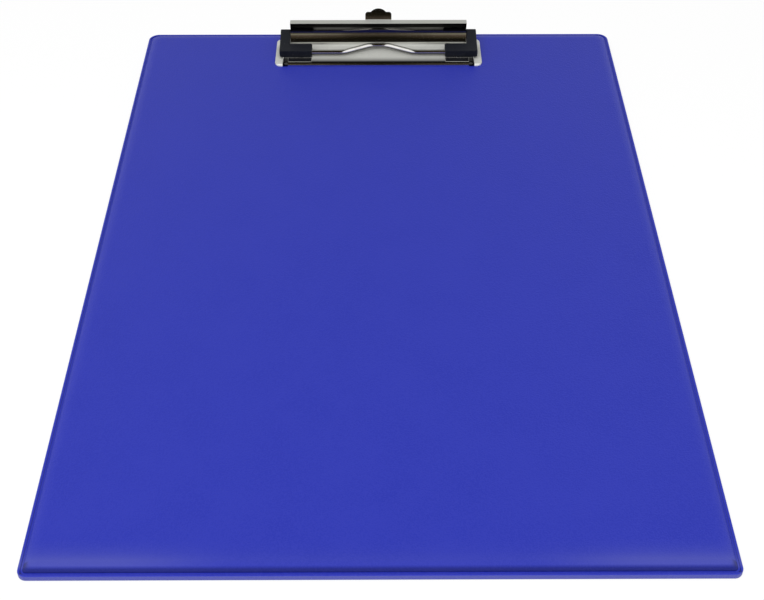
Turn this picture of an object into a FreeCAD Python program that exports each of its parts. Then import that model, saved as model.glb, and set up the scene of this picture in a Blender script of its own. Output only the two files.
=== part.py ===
import FreeCAD, Part
import math
import os

# Clipboard with a sprung wire-bow clip, in millimetres.
# The origin is the centre of the board's underside, +X runs to the right, +Y towards the clip
# and +Z up. Every angle is in degrees.

Vector = FreeCAD.Vector
AXIS_X = Vector(1, 0, 0)
AXIS_Y = Vector(0, 1, 0)
AXIS_Z = Vector(0, 0, 1)
SIDES = (("left", -1), ("right", 1))

# Shared by every cut that has to run past a face, and by every search for an edge
overrun = 1.0
tolerance = 1e-4

# Board: a stiff core between two welded sheets
board_width = 235.0
board_length = 340.0
board_corner_radius = 5.0
board_front_radius = 3.0
core_thickness = 2.5
cover_sheet = 0.45
core_play = 0.05
board_top = core_thickness + 2 * cover_sheet

# Edge of the board: a bead rim outside a weld groove, then the panel's rolled edge
rim_width = 1.0
rim_height = 2.4
rim_edge_radius = 0.4
groove_width = 0.7
groove_sheet = 0.7
weld_height_share = 0.5
roll_width = 4.5
roll_drop = 1.4
roll_angles = (0, 18, 36, 54, 72, 90)
weld_height = rim_height * weld_height_share
panel_inset = rim_width + groove_width
panel_corner_radius = board_corner_radius - panel_inset
panel_front_radius = board_front_radius - panel_inset

# Clip: the lever's width sets the width of all that stands beside it
lever_width = 88.4

# Rivets and washers, recessed into a pressed cup of the underside
rivet_inset = 5.6
rivet_setback = 9.0
rivet_radius = 1.75
rivet_play = 0.05
rivet_head_radius = 3.0
rivet_head_height = 0.8
rivet_head_edge = 0.35
clinch_radius = 2.9
clinch_height = 0.35
clinch_edge = 0.15
washer_radius = 4.5
washer_thickness = 0.5
washer_edge = 0.1
cup_clearance = 0.5
cup_flush_margin = 0.05
cup_depth = clinch_height + washer_thickness + cup_flush_margin
cup_radius = washer_radius + cup_clearance
rivet_hole_radius = rivet_radius + rivet_play
rivet_x = lever_width / 2 - rivet_inset

# Base plate: an inverted tray with flat ends
plate_end = 3.6
plate_depth = 25.0
plate_back_inset = 8.0
plate_sheet = 0.8
plate_corner_radius = 3.0
tray_end_margin = 3.6
tray_inset = 0.3
tray_rise = 1.8
tray_corner_radius = 3.0
tray_edge_radius = 1.5
dimple_radius = 3.6
plate_back = board_length / 2 - plate_back_inset
plate_front = plate_back - plate_depth
tray_top = board_top + tray_rise
tray_width = lever_width + 2 * tray_end_margin
plate_width = tray_width + 2 * plate_end
rivet_y = plate_front + rivet_setback

# Hinge axis of the jaw, parallel to X
hinge_inset = 2.2
hinge_rise = 3.73
hinge_y = plate_back - hinge_inset
hinge_z = tray_top + hinge_rise

# Wire bow: bent from one round wire, its rear ends turned in as the hinge pins
wire_radius = 1.2
bow_reach = 15.5
bow_drop = 1.73
hump_depth = 5.7
hump_top_width = 8.0
hump_foot_width = 34.8
hump_bend = 5.0
corner_bend = 3.0
rear_bend = 2.4
tip_margin = 3.8
tip_bend = 2.0
tip_rise = 5.0
tip_lean = 0.8
pin_play = 0.06
bow_front_y = hinge_y - bow_reach
bow_front_z = hinge_z - bow_drop

# Lever: one blank with a concave web, a top flange, two end cheeks and a finger tab
lever_sheet = 0.8
web_radius = 6.6
web_centre_ahead = 9.5
web_centre_above = 3.77
web_low_angle = -57
web_high_angle = 36
web_fold_radius = 0.35
flange_depth = 3.4
flange_slope = 0.2
cheek_radius = 2.2
cheek_rear_angle = 0
cheek_low_angle = -90
cheek_hole_play = 0.1
tab_width = 13.1
tab_shoulder_height = 4.0
tab_corner_radius = 1.3
tab_bump_height = 5.8
tab_bump_radius = 4.85
tab_curl_radius = 10.0
tab_root_lean = 20
tab_face_lean = 37
web_centre_y = hinge_y - web_centre_ahead
web_centre_z = hinge_z + web_centre_above

# Ears of the base plate, just inside the cheeks, each lanced out of the tray
ear_play = 0.2
ear_radius = 2.1
ear_outer_x = lever_width / 2 - lever_sheet - ear_play
ear_inner_x = ear_outer_x - plate_sheet
lance_margin = 0.3
lance_length = hinge_rise + ear_radius

# Corner grips moulded on the bow
grip_play = 0.2
grip_leg_width = 4.9
grip_front_wall = 2.1
grip_depth = 7.4
grip_foot_length = 16.2
grip_half_height = 1.8
grip_tail_radius = 1.9
grip_tail_high_angle = 105
grip_tail_low_angle = -75
grip_corner_radius = 1.4
grip_end_radius = 0.9
grip_heel = 7.0
mould_play = 0.03
pip_radius = 0.45
pip_height = 0.25
pip_inset = 6.6
grip_inner_x = lever_width / 2 + grip_play
grip_outer_x = grip_inner_x + grip_leg_width
grip_foot_end_x = grip_outer_x - grip_foot_length
bow_side_x = grip_inner_x + grip_leg_width / 2
grip_front_y = bow_front_y - grip_front_wall
grip_bottom = bow_front_z - grip_half_height
grip_top = bow_front_z + grip_half_height

# Torsion springs, one on each hinge pin
spring_wire_radius = 0.4
spring_bore_play = 0.25
spring_pitch = 1.25
spring_turns = 6
spring_window_margin = 1.6
spring_low_angle = -150
spring_high_angle = 175
spring_low_leg = 2.6
spring_high_leg = 4.6
spring_coil_radius = wire_radius + spring_bore_play + spring_wire_radius
spring_last_angle = spring_high_angle - 360 * (spring_turns + 1)
spring_sweep = spring_low_angle - spring_last_angle
spring_outer_x = ear_inner_x - lance_length - spring_window_margin
tip_x = spring_outer_x - spring_pitch * spring_sweep / 360 - tip_margin


def between(first, last):
    """First, middle and last of a range."""
    return first, (first + last) / 2, last


def rounded_outline(x0, x1, y0, y1, radius, z, front_radius=None):
    """Closed wire of a rectangle with round corners at the height z, those at y0 on their own radius."""
    front = front_radius or radius
    corners = (
        (x1 - radius, y1 - radius, radius, 0),
        (x0 + radius, y1 - radius, radius, 90),
        (x0 + front, y0 + front, front, 180),
        (x1 - front, y0 + front, front, 270),
    )
    arcs = []
    for x, y, corner, start in corners:
        points = []
        for degrees in between(start, start + 90):
            angle = math.radians(degrees)
            points.append(Vector(x + corner * math.cos(angle), y + corner * math.sin(angle), z))
        arcs.append(points)
    edges = []
    for index, points in enumerate(arcs):
        following = arcs[(index + 1) % len(arcs)]
        edges.append(Part.Arc(*points).toShape())
        edges.append(Part.LineSegment(points[-1], following[0]).toShape())
    return Part.Wire(edges)


def rounded_slab(x0, x1, y0, y1, radius, z0, z1, front_radius=None):
    """Solid plate with round corners between the heights z0 and z1."""
    face = Part.Face(rounded_outline(x0, x1, y0, y1, radius, z0, front_radius))
    return face.extrude(Vector(0, 0, z1 - z0))


def board_slab(inset, z0, z1):
    """Plate of the board's own outline, drawn in by inset."""
    half_x = board_width / 2 - inset
    half_y = board_length / 2 - inset
    return rounded_slab(-half_x, half_x, -half_y, half_y, board_corner_radius - inset, z0, z1,
                        board_front_radius - inset)


def panel_pillow(inset, z0, z_top):
    """Panel inside the weld, its top edge rolled down along a quarter of an ellipse."""
    steps = [(0.0, z0)]
    for degrees in roll_angles:
        angle = math.radians(degrees)
        steps.append((roll_width * (1 - math.cos(angle)), z_top - roll_drop * (1 - math.sin(angle))))
    wires = []
    for draw, z in steps:
        half_x = board_width / 2 - inset - draw
        half_y = board_length / 2 - inset - draw
        wires.append(rounded_outline(-half_x, half_x, -half_y, half_y, panel_corner_radius, z,
                                     panel_front_radius))
    return Part.makeLoft(wires, True, True)


def post(radius, x, y, z0, z1):
    """Upright cylinder between the heights z0 and z1."""
    return Part.makeCylinder(radius, z1 - z0, Vector(x, y, z0), AXIS_Z)


def edges_at_height(shape, z):
    """Edges that lie flat at the height z."""
    found = []
    for edge in shape.Edges:
        box = edge.BoundBox
        if abs(box.ZMin - z) < tolerance and abs(box.ZMax - z) < tolerance:
            found.append(edge)
    return found


def rivet_places():
    """Side name, sign and X of each rivet."""
    return [(name, sign, sign * rivet_x) for name, sign in SIDES]


def core_space(play):
    """Room between the two sheets, smaller all round by play except at its floor."""
    inset = panel_inset + cover_sheet + play
    return panel_pillow(inset, cover_sheet, board_top - cover_sheet - play)


def front_cover():
    """Upper sheet: bead rim, weld groove and the rolled panel over the core."""
    bead = board_slab(0, weld_height, rim_height)
    bead = bead.cut(board_slab(rim_width, weld_height - overrun, rim_height + overrun))
    bead = bead.makeFillet(rim_edge_radius, edges_at_height(bead, rim_height))
    weld = board_slab(0, weld_height, weld_height + groove_sheet)
    panel = panel_pillow(panel_inset, weld_height, board_top)
    cover = weld.fuse([bead, panel]).cut(core_space(0))
    for name, sign, x in rivet_places():
        cover = cover.cut(post(rivet_hole_radius, x, rivet_y, 0, board_top + overrun))
    return cover.removeSplitter()


def back_cover():
    """Lower sheet: flat, as thick as half the rim at its edge, with a cup at each rivet."""
    cover = board_slab(0, 0, weld_height)
    cover = cover.makeFillet(rim_edge_radius, edges_at_height(cover, 0))
    cover = cover.cut(core_space(0))
    for name, sign, x in rivet_places():
        cover = cover.fuse(post(cup_radius + cover_sheet, x, rivet_y, 0, cup_depth + cover_sheet))
        cover = cover.cut(post(cup_radius, x, rivet_y, -overrun, cup_depth))
        cover = cover.cut(post(rivet_hole_radius, x, rivet_y, -overrun, board_top))
    return cover.removeSplitter()


def core_board():
    """Stiff board between the sheets, pressed up by the two cups."""
    core = core_space(core_play)
    for name, sign, x in rivet_places():
        cup = post(cup_radius + cover_sheet + core_play, x, rivet_y, 0, cup_depth + cover_sheet)
        core = core.cut(cup).cut(post(rivet_hole_radius, x, rivet_y, 0, board_top))
    return core


def rivet(x):
    """Tubular rivet: domed head in the plate's dimple, shank, and clinched foot."""
    seat = board_top + plate_sheet
    head_top = seat + rivet_head_height
    head = post(rivet_head_radius, x, rivet_y, seat, head_top)
    head = head.makeFillet(rivet_head_edge, edges_at_height(head, head_top))
    foot = post(clinch_radius, x, rivet_y, cup_flush_margin, cup_flush_margin + clinch_height)
    foot = foot.makeFillet(clinch_edge, edges_at_height(foot, cup_flush_margin))
    shank = post(rivet_radius, x, rivet_y, cup_flush_margin + clinch_height, seat)
    return shank.fuse([head, foot]).removeSplitter()


def washer(x):
    """Flat ring between the clinched foot and the cup of the back sheet."""
    bottom = cup_flush_margin + clinch_height
    ring = post(washer_radius, x, rivet_y, bottom, cup_depth)
    ring = ring.makeFillet(washer_edge, edges_at_height(ring, bottom))
    return ring.cut(post(rivet_hole_radius, x, rivet_y, bottom - overrun, cup_depth + overrun))


def tray_block(inset, z0, z1, edge_radius):
    """Block of the raised tray, drawn in by inset, with its top edge rounded."""
    half = tray_width / 2 - inset
    front = plate_front + tray_inset + inset
    back = plate_back - tray_inset - inset
    block = rounded_slab(-half, half, front, back, tray_corner_radius - inset, z0, z1)
    return block.makeFillet(edge_radius, edges_at_height(block, z1))


def hinge_rod(radius, x0, x1):
    """Cylinder on the hinge axis between x0 and x1."""
    return Part.makeCylinder(radius, x1 - x0, Vector(x0, hinge_y, hinge_z), AXIS_X)


def hinge_circle(radius, degrees):
    """Point on a circle about the hinge axis, as (Y, Z)."""
    angle = math.radians(degrees)
    return hinge_y + radius * math.cos(angle), hinge_z + radius * math.sin(angle)


def span(sign, inner, outer):
    """Lower and upper X of a stretch that lies from inner to outer on one side."""
    return min(sign * inner, sign * outer), max(sign * inner, sign * outer)


def ear(sign):
    """Upright ear of the base plate, round about the hinge axis."""
    x0, x1 = span(sign, ear_inner_x, ear_outer_x)
    foot = tray_top - plate_sheet
    start = Vector(x0, hinge_y - ear_radius, foot)
    stem = Part.makeBox(x1 - x0, 2 * ear_radius, hinge_z - foot, start)
    return stem.fuse(hinge_rod(ear_radius, x0, x1))


def lance_window(sign):
    """Slot that the ear leaves in the tray, beside its foot."""
    x0, x1 = span(sign, ear_inner_x - lance_length, ear_inner_x)
    front = hinge_y - ear_radius
    depth = plate_back - tray_inset - tray_edge_radius - lance_margin - front
    bottom = tray_top - plate_sheet - overrun
    return Part.makeBox(x1 - x0, depth, tray_top + overrun - bottom, Vector(x0, front, bottom))


def base_plate():
    """Sheet pressed into a flat-ended tray, with rivet dimples and two ears."""
    half = plate_width / 2
    ends = rounded_slab(-half, half, plate_front, plate_back, plate_corner_radius,
                        board_top, board_top + plate_sheet)
    tray = tray_block(0, board_top, tray_top, tray_edge_radius)
    hollow = tray_block(plate_sheet, board_top - overrun, tray_top - plate_sheet,
                        tray_edge_radius - plate_sheet)
    plate = ends.fuse(tray).cut(hollow)
    for name, sign, x in rivet_places():
        plate = plate.fuse(post(dimple_radius + plate_sheet, x, rivet_y, board_top, tray_top))
        plate = plate.cut(post(dimple_radius, x, rivet_y, board_top + plate_sheet, tray_top + overrun))
        plate = plate.cut(post(rivet_hole_radius, x, rivet_y, board_top - overrun, tray_top))
    for name, sign in SIDES:
        plate = plate.cut(lance_window(sign)).fuse(ear(sign))
    reach = lever_width / 2
    return plate.cut(hinge_rod(wire_radius + pin_play, -reach, reach)).removeSplitter()


def web_point(radius, degrees):
    """Point of the web's section as (Y, Z), from the web's own centre."""
    angle = math.radians(degrees)
    return web_centre_y + radius * math.cos(angle), web_centre_z + radius * math.sin(angle)


def section_edges(points_list, x):
    """Edges through (Y, Z) points at one X: two points make a line, three an arc."""
    edges = []
    for points in points_list:
        places = [Vector(x, y, z) for y, z in points]
        if len(places) == 2:
            edges.append(Part.LineSegment(*places).toShape())
        else:
            edges.append(Part.Arc(*places).toShape())
    return edges


def section_solid(points_list, x0, x1):
    """Solid with a section given in (Y, Z), between x0 and x1."""
    face = Part.Face(Part.Wire(section_edges(points_list, x0)))
    return face.extrude(Vector(x1 - x0, 0, 0))


def web_front():
    """Front arc of the web from its low lip up to the fold."""
    return [web_point(web_radius, degrees) for degrees in between(web_low_angle, web_high_angle)]


def flange_rear():
    """Upper rear corner of the top flange as (Y, Z)."""
    fold_y, fold_z = web_point(web_radius, web_high_angle)
    return fold_y + flange_depth, fold_z + flange_slope


def edges_through(shape, y, z):
    """Edges along X that pass through one (Y, Z) place."""
    found = []
    for edge in shape.Edges:
        box = edge.BoundBox
        near = abs(box.Center.y - y) < tolerance and abs(box.Center.z - z) < tolerance
        if near and box.YLength < tolerance and box.ZLength < tolerance:
            found.append(edge)
    return found


def web_and_flange():
    """Concave web with the top flange folded back from it."""
    outer = web_radius + lever_sheet
    front = web_front()
    fold = front[-1]
    rear_y, rear_z = flange_rear()
    inside = fold[1] - lever_sheet - web_centre_z
    rear_angle = math.degrees(math.asin(inside / outer))
    back = [web_point(outer, degrees) for degrees in between(rear_angle, web_low_angle)]
    outline = (
        front,
        (fold, (rear_y, rear_z)),
        ((rear_y, rear_z), (rear_y, rear_z - lever_sheet)),
        ((rear_y, rear_z - lever_sheet), back[0]),
        back,
        (back[-1], front[0]),
    )
    blank = section_solid(outline, -lever_width / 2, lever_width / 2)
    return blank.makeFillet(web_fold_radius, edges_through(blank, *fold))


def cheek(sign):
    """End plate of the lever, from the web back round the hinge axis."""
    x0, x1 = span(sign, lever_width / 2 - lever_sheet, lever_width / 2)
    front = web_front()
    rear = flange_rear()
    below = [hinge_circle(cheek_radius, degrees)
             for degrees in between(cheek_rear_angle, cheek_low_angle)]
    outline = (front, (front[-1], rear), (rear, below[0]), below, (below[-1], front[0]))
    return section_solid(outline, x0, x1)


def tab_outline(depth):
    """Prism of the tab's outline, upright on the origin: shoulders and a round crown."""
    half = tab_width / 2
    shoulders = Part.makeBox(tab_width, 2 * depth, depth + tab_shoulder_height,
                             Vector(-half, -depth, -depth))
    upper = [edge for edge in shoulders.Edges
             if abs(edge.BoundBox.ZMin - tab_shoulder_height) < tolerance
             and edge.BoundBox.XLength < tolerance]
    shoulders = shoulders.makeFillet(tab_corner_radius, upper)
    crown_z = tab_bump_height - tab_bump_radius
    crown = Part.makeCylinder(tab_bump_radius, 2 * depth, Vector(0, -depth, crown_z), AXIS_Y)
    above = Part.makeBox(tab_width, 2 * depth, tab_bump_height, Vector(-half, -depth, 0))
    return shoulders.fuse(crown.common(above))


def finger_tab():
    """Tab at the middle of the flange's rear edge, leaning back and curling further back."""
    rear_y, rear_z = flange_rear()
    lean = math.radians(tab_root_lean)
    start = Vector(-tab_width / 2, rear_y + tab_curl_radius * math.cos(lean),
                   rear_z - tab_curl_radius * math.sin(lean))
    sheet = Part.makeCylinder(tab_curl_radius, tab_width, start, AXIS_X)
    sheet = sheet.cut(Part.makeCylinder(tab_curl_radius - lever_sheet, tab_width, start, AXIS_X))
    outline = tab_outline(tab_curl_radius / 3)
    outline.rotate(Vector(0, 0, 0), AXIS_X, -tab_face_lean)
    outline.translate(Vector(0, rear_y, rear_z))
    over = Part.makeBox(tab_width, 2 * tab_curl_radius, 2 * tab_curl_radius,
                        Vector(-tab_width / 2, rear_y - lever_sheet, rear_z - lever_sheet))
    return sheet.common(outline).common(over)


def lever():
    """Whole lever with the pin holes in its cheeks."""
    blank = web_and_flange().fuse([cheek(sign) for name, sign in SIDES] + [finger_tab()])
    reach = lever_width / 2 + overrun
    return blank.cut(hinge_rod(wire_radius + cheek_hole_play, -reach, reach)).removeSplitter()


def tangent_arc(start, corner, end):
    """Arc from start to end that is tangent to both lines at their common corner."""
    inward = (start - corner).normalize() + (end - corner).normalize()
    inward.normalize()
    half = (start - corner).getAngle(end - corner) / 2
    tangent = (start - corner).Length
    depth = tangent / math.cos(half) - tangent * math.tan(half)
    return Part.Arc(start, corner + inward * depth, end).toShape()


def bent_path(points, radii):
    """Edges of a bent wire's centre line: straight runs with an arc at each inner point."""
    edges = []
    last = points[0]
    for index, radius in enumerate(radii):
        corner = points[index + 1]
        back = (points[index] - corner).normalize()
        onward = (points[index + 2] - corner).normalize()
        cut = radius / math.tan(back.getAngle(onward) / 2)
        start = corner + back * cut
        end = corner + onward * cut
        edges.append(Part.LineSegment(last, start).toShape())
        edges.append(tangent_arc(start, corner, end))
        last = end
    edges.append(Part.LineSegment(last, points[-1]).toShape())
    return edges


def bow_points(sign):
    """Corners of one half of the bow, from its turned-up tip to the hump's top."""
    x = sign * bow_side_x
    slope = bow_drop / bow_reach
    return [
        Vector(sign * tip_x, hinge_y + tip_lean, hinge_z + tip_rise),
        Vector(sign * tip_x, hinge_y, hinge_z),
        Vector(x, hinge_y, hinge_z),
        Vector(x, bow_front_y, bow_front_z),
        Vector(sign * hump_foot_width / 2, bow_front_y, bow_front_z),
        Vector(sign * hump_top_width / 2, bow_front_y + hump_depth, bow_front_z + hump_depth * slope),
    ]


def bow_tube(radius):
    """Round bar along the bow's centre line."""
    points = bow_points(-1) + bow_points(1)[::-1]
    half = [tip_bend, rear_bend, corner_bend, hump_bend, hump_bend]
    edges = bent_path(points, half + half[::-1])
    start = edges[0].Vertexes[0].Point
    circle = Part.Wire(Part.makeCircle(radius, start, points[1] - points[0]))
    return Part.Wire(edges).makePipeShell([circle], True, False)


def grip_side_leg(sign):
    """Side arm of a grip: level over its heel, then rising to the round tail."""
    x0, x1 = span(sign, grip_inner_x, grip_outer_x)
    heel = grip_front_y + grip_heel
    tail = [hinge_circle(grip_tail_radius, degrees)
            for degrees in between(grip_tail_high_angle, grip_tail_low_angle)]
    outline = (
        ((grip_front_y, grip_bottom), (grip_front_y, grip_top)),
        ((grip_front_y, grip_top), (heel, grip_top)),
        ((heel, grip_top), tail[0]),
        tail,
        (tail[-1], (heel, grip_bottom)),
        ((heel, grip_bottom), (grip_front_y, grip_bottom)),
    )
    return section_solid(outline, x0, x1)


def upright_edges(shape, x, y):
    """Vertical edges at one (X, Y) place."""
    found = []
    for edge in shape.Edges:
        box = edge.BoundBox
        near = abs(box.Center.x - x) < tolerance and abs(box.Center.y - y) < tolerance
        if near and box.XLength < tolerance and box.YLength < tolerance:
            found.append(edge)
    return found


def corner_grip(sign, bore):
    """Moulded L-shaped grip round the bow's corner, with a moulding pip on its front."""
    x0, x1 = span(sign, grip_foot_end_x, grip_outer_x)
    start = Vector(x0, grip_front_y, grip_bottom)
    front = Part.makeBox(x1 - x0, grip_depth, grip_top - grip_bottom, start)
    body = front.fuse(grip_side_leg(sign)).removeSplitter()
    body = body.makeFillet(grip_corner_radius, upright_edges(body, sign * grip_outer_x, grip_front_y))
    inner = upright_edges(body, sign * grip_foot_end_x, grip_front_y)
    inner += upright_edges(body, sign * grip_foot_end_x, grip_front_y + grip_depth)
    body = body.makeFillet(grip_end_radius, inner)
    pip_start = Vector(sign * (grip_outer_x - pip_inset), grip_front_y - pip_height, bow_front_z)
    pip = Part.makeCylinder(pip_radius, pip_height + wire_radius / 2, pip_start, AXIS_Y)
    return body.fuse(pip).cut(bore).removeSplitter()


def biarc(start, start_way, end, end_way):
    """Two tangent arcs from start to end that leave and arrive along the given ways."""
    chord = end - start
    a = 2 * (1 - start_way.dot(end_way))
    b = 2 * chord.dot(start_way + end_way)
    reach = (math.sqrt(b * b + 4 * a * chord.dot(chord)) - b) / (2 * a)
    joint = (start + end + (start_way - end_way) * reach) * 0.5
    first = tangent_arc(start, start + start_way * reach, joint)
    second = tangent_arc(joint, end - end_way * reach, end)
    return [first, second]


def coil_place(sign, degrees):
    """Point and way of the spring's coil at one angle, which falls as the coil runs inwards."""
    angle = math.radians(degrees)
    turned = (spring_low_angle - degrees) / 360
    x = sign * (spring_outer_x - spring_pitch * turned)
    radius = spring_coil_radius
    point = Vector(x, *hinge_circle(radius, degrees))
    way = Vector(-sign * spring_pitch / (2 * math.pi), radius * math.sin(angle), -radius * math.cos(angle))
    return point, way.normalize()


def spring_path(sign):
    """Edges of a torsion spring: low leg, coil in half-turn biarcs, and high leg."""
    halves = round(spring_sweep / 180)
    angles = [spring_low_angle - spring_sweep * index / halves for index in range(halves + 1)]
    places = [coil_place(sign, degrees) for degrees in angles]
    point, way = places[0]
    edges = [Part.LineSegment(point - way * spring_low_leg, point).toShape()]
    for (start, start_way), (end, end_way) in zip(places, places[1:]):
        edges += biarc(start, start_way, end, end_way)
    point, way = places[-1]
    edges.append(Part.LineSegment(point, point + way * spring_high_leg).toShape())
    return edges


def torsion_spring(sign):
    """Round wire along the spring's path."""
    edges = spring_path(sign)
    start = edges[0].Vertexes[0].Point
    point, way = coil_place(sign, spring_low_angle)
    circle = Part.Wire(Part.makeCircle(spring_wire_radius, start, way))
    return Part.Wire(edges).makePipeShell([circle], True, False)


def save(name, shape):
    """Write one node and print its solids and volume."""
    solids = shape.Solids
    if len(solids) == 1:
        shape = solids[0]
    shape.exportStep(os.path.join("parts", name + ".step"))
    box = shape.BoundBox
    print(f"{name:20s} solids {len(solids)} valid {shape.isValid()} volume {shape.Volume:10.2f}"
          f"  z {box.ZMin:.2f} to {box.ZMax:.2f}")


def main():
    os.makedirs("parts", exist_ok=True)
    save("front_cover", front_cover())
    save("back_cover", back_cover())
    save("core_board", core_board())
    save("base_plate", base_plate())
    save("lever", lever())
    save("wire_bow", bow_tube(wire_radius))
    bore = bow_tube(wire_radius + mould_play)
    for name, sign, x in rivet_places():
        save("rivet_" + name, rivet(x))
        save("washer_" + name, washer(x))
        save("corner_grip_" + name, corner_grip(sign, bore))
        save("spring_" + name, torsion_spring(sign))


main()
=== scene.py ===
import logging
import math
from dataclasses import dataclass
from enum import Enum
from typing import Any, Iterable, Sequence

import bmesh
import bpy
from bmesh.types import BMEdge, BMesh, BMFace, BMVert
from mathutils import Matrix, Vector


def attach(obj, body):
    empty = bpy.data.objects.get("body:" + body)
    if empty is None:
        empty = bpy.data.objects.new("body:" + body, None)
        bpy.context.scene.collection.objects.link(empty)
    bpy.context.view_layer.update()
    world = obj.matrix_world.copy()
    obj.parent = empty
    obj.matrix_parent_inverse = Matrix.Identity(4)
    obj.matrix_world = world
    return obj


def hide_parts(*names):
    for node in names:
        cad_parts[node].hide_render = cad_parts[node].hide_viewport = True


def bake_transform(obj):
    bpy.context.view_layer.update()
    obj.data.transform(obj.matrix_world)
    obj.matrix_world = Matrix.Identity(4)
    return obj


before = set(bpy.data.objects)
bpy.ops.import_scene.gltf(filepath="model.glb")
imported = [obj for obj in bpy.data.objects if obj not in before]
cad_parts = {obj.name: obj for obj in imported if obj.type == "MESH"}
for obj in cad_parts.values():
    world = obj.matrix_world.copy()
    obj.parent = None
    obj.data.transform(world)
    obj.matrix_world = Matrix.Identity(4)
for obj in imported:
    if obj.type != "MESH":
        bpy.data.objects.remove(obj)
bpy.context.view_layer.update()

# Covered clipboard with a wire-bow clip. Sizes are in millimetres and angles in degrees, in the
# frame of the solids: +X to the right, +Y towards the clip, +Z up. A piece is turned into metres
# when its mesh is finished.

log = logging.getLogger("clipboard")

Pair = tuple[float, float]
Triple = tuple[float, float, float]
Colour = tuple[float, float, float, float]

MM = 0.001
WELD = 0.002
SIDES = (("left", -1), ("right", 1))
AXIS_X = Vector((1, 0, 0))
AXIS_Y = Vector((0, 1, 0))
AXIS_Z = Vector((0, 0, 1))
BLACK: Colour = (0.0, 0.0, 0.0, 1.0)
WHITE: Colour = (1.0, 1.0, 1.0, 1.0)

# Places that several pieces share: the hinge line as (Y, Z), and both rivets as (X, Y).
HINGE: Pair = (159.8, 8.93)
RIVET_SPOTS: tuple[Pair, Pair] = ((-38.6, 146.0), (38.6, 146.0))
HOLE_RADIUS = 1.8
ARC_STEPS = 6


class Body(Enum):
    """Rigid bodies of the clipboard that a piece can ride on."""

    BOARD = "board"
    JAW = "jaw"


class Edge(Enum):
    """How the outer edges of a piece are broken, as the width of the round in millimetres."""

    NONE = 0.0
    SHEARED = 0.1
    MOULDED = 0.35


# Shader graphs


class Value:
    """A shader value that takes part in sums written in Python."""

    def __init__(self, graph: "Graph", socket: bpy.types.NodeSocket) -> None:
        """Keep the socket and the graph that it belongs to."""
        self.graph = graph
        self.socket = socket

    def _maths(self, operation: str, first: Any, second: Any) -> "Value":
        """Add one Math node over two values."""
        return self.graph.node("ShaderNodeMath", {"operation": operation}, {0: first, 1: second})

    def __add__(self, other: Any) -> "Value":
        """Sum with a value or number."""
        return self._maths("ADD", self, other)

    def __radd__(self, other: Any) -> "Value":
        """Sum with a number on the left."""
        return self._maths("ADD", other, self)

    def __sub__(self, other: Any) -> "Value":
        """Difference with a value or number."""
        return self._maths("SUBTRACT", self, other)

    def __rsub__(self, other: Any) -> "Value":
        """Difference with a number on the left."""
        return self._maths("SUBTRACT", other, self)

    def __mul__(self, other: Any) -> "Value":
        """Product with a value or number."""
        return self._maths("MULTIPLY", self, other)

    def __rmul__(self, other: Any) -> "Value":
        """Product with a number on the left."""
        return self._maths("MULTIPLY", other, self)

    def __abs__(self) -> "Value":
        """Size without the sign."""
        return self._maths("ABSOLUTE", self, 0.0)

    def __or__(self, other: Any) -> "Value":
        """The larger of two values."""
        return self._maths("MAXIMUM", self, other)


@dataclass(frozen=True)
class Lumps:
    """Soft noise, as the size of its lumps in millimetres, its detail and its roughness."""

    size: float
    detail: float = 2.0
    rough: float = 0.5


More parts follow.
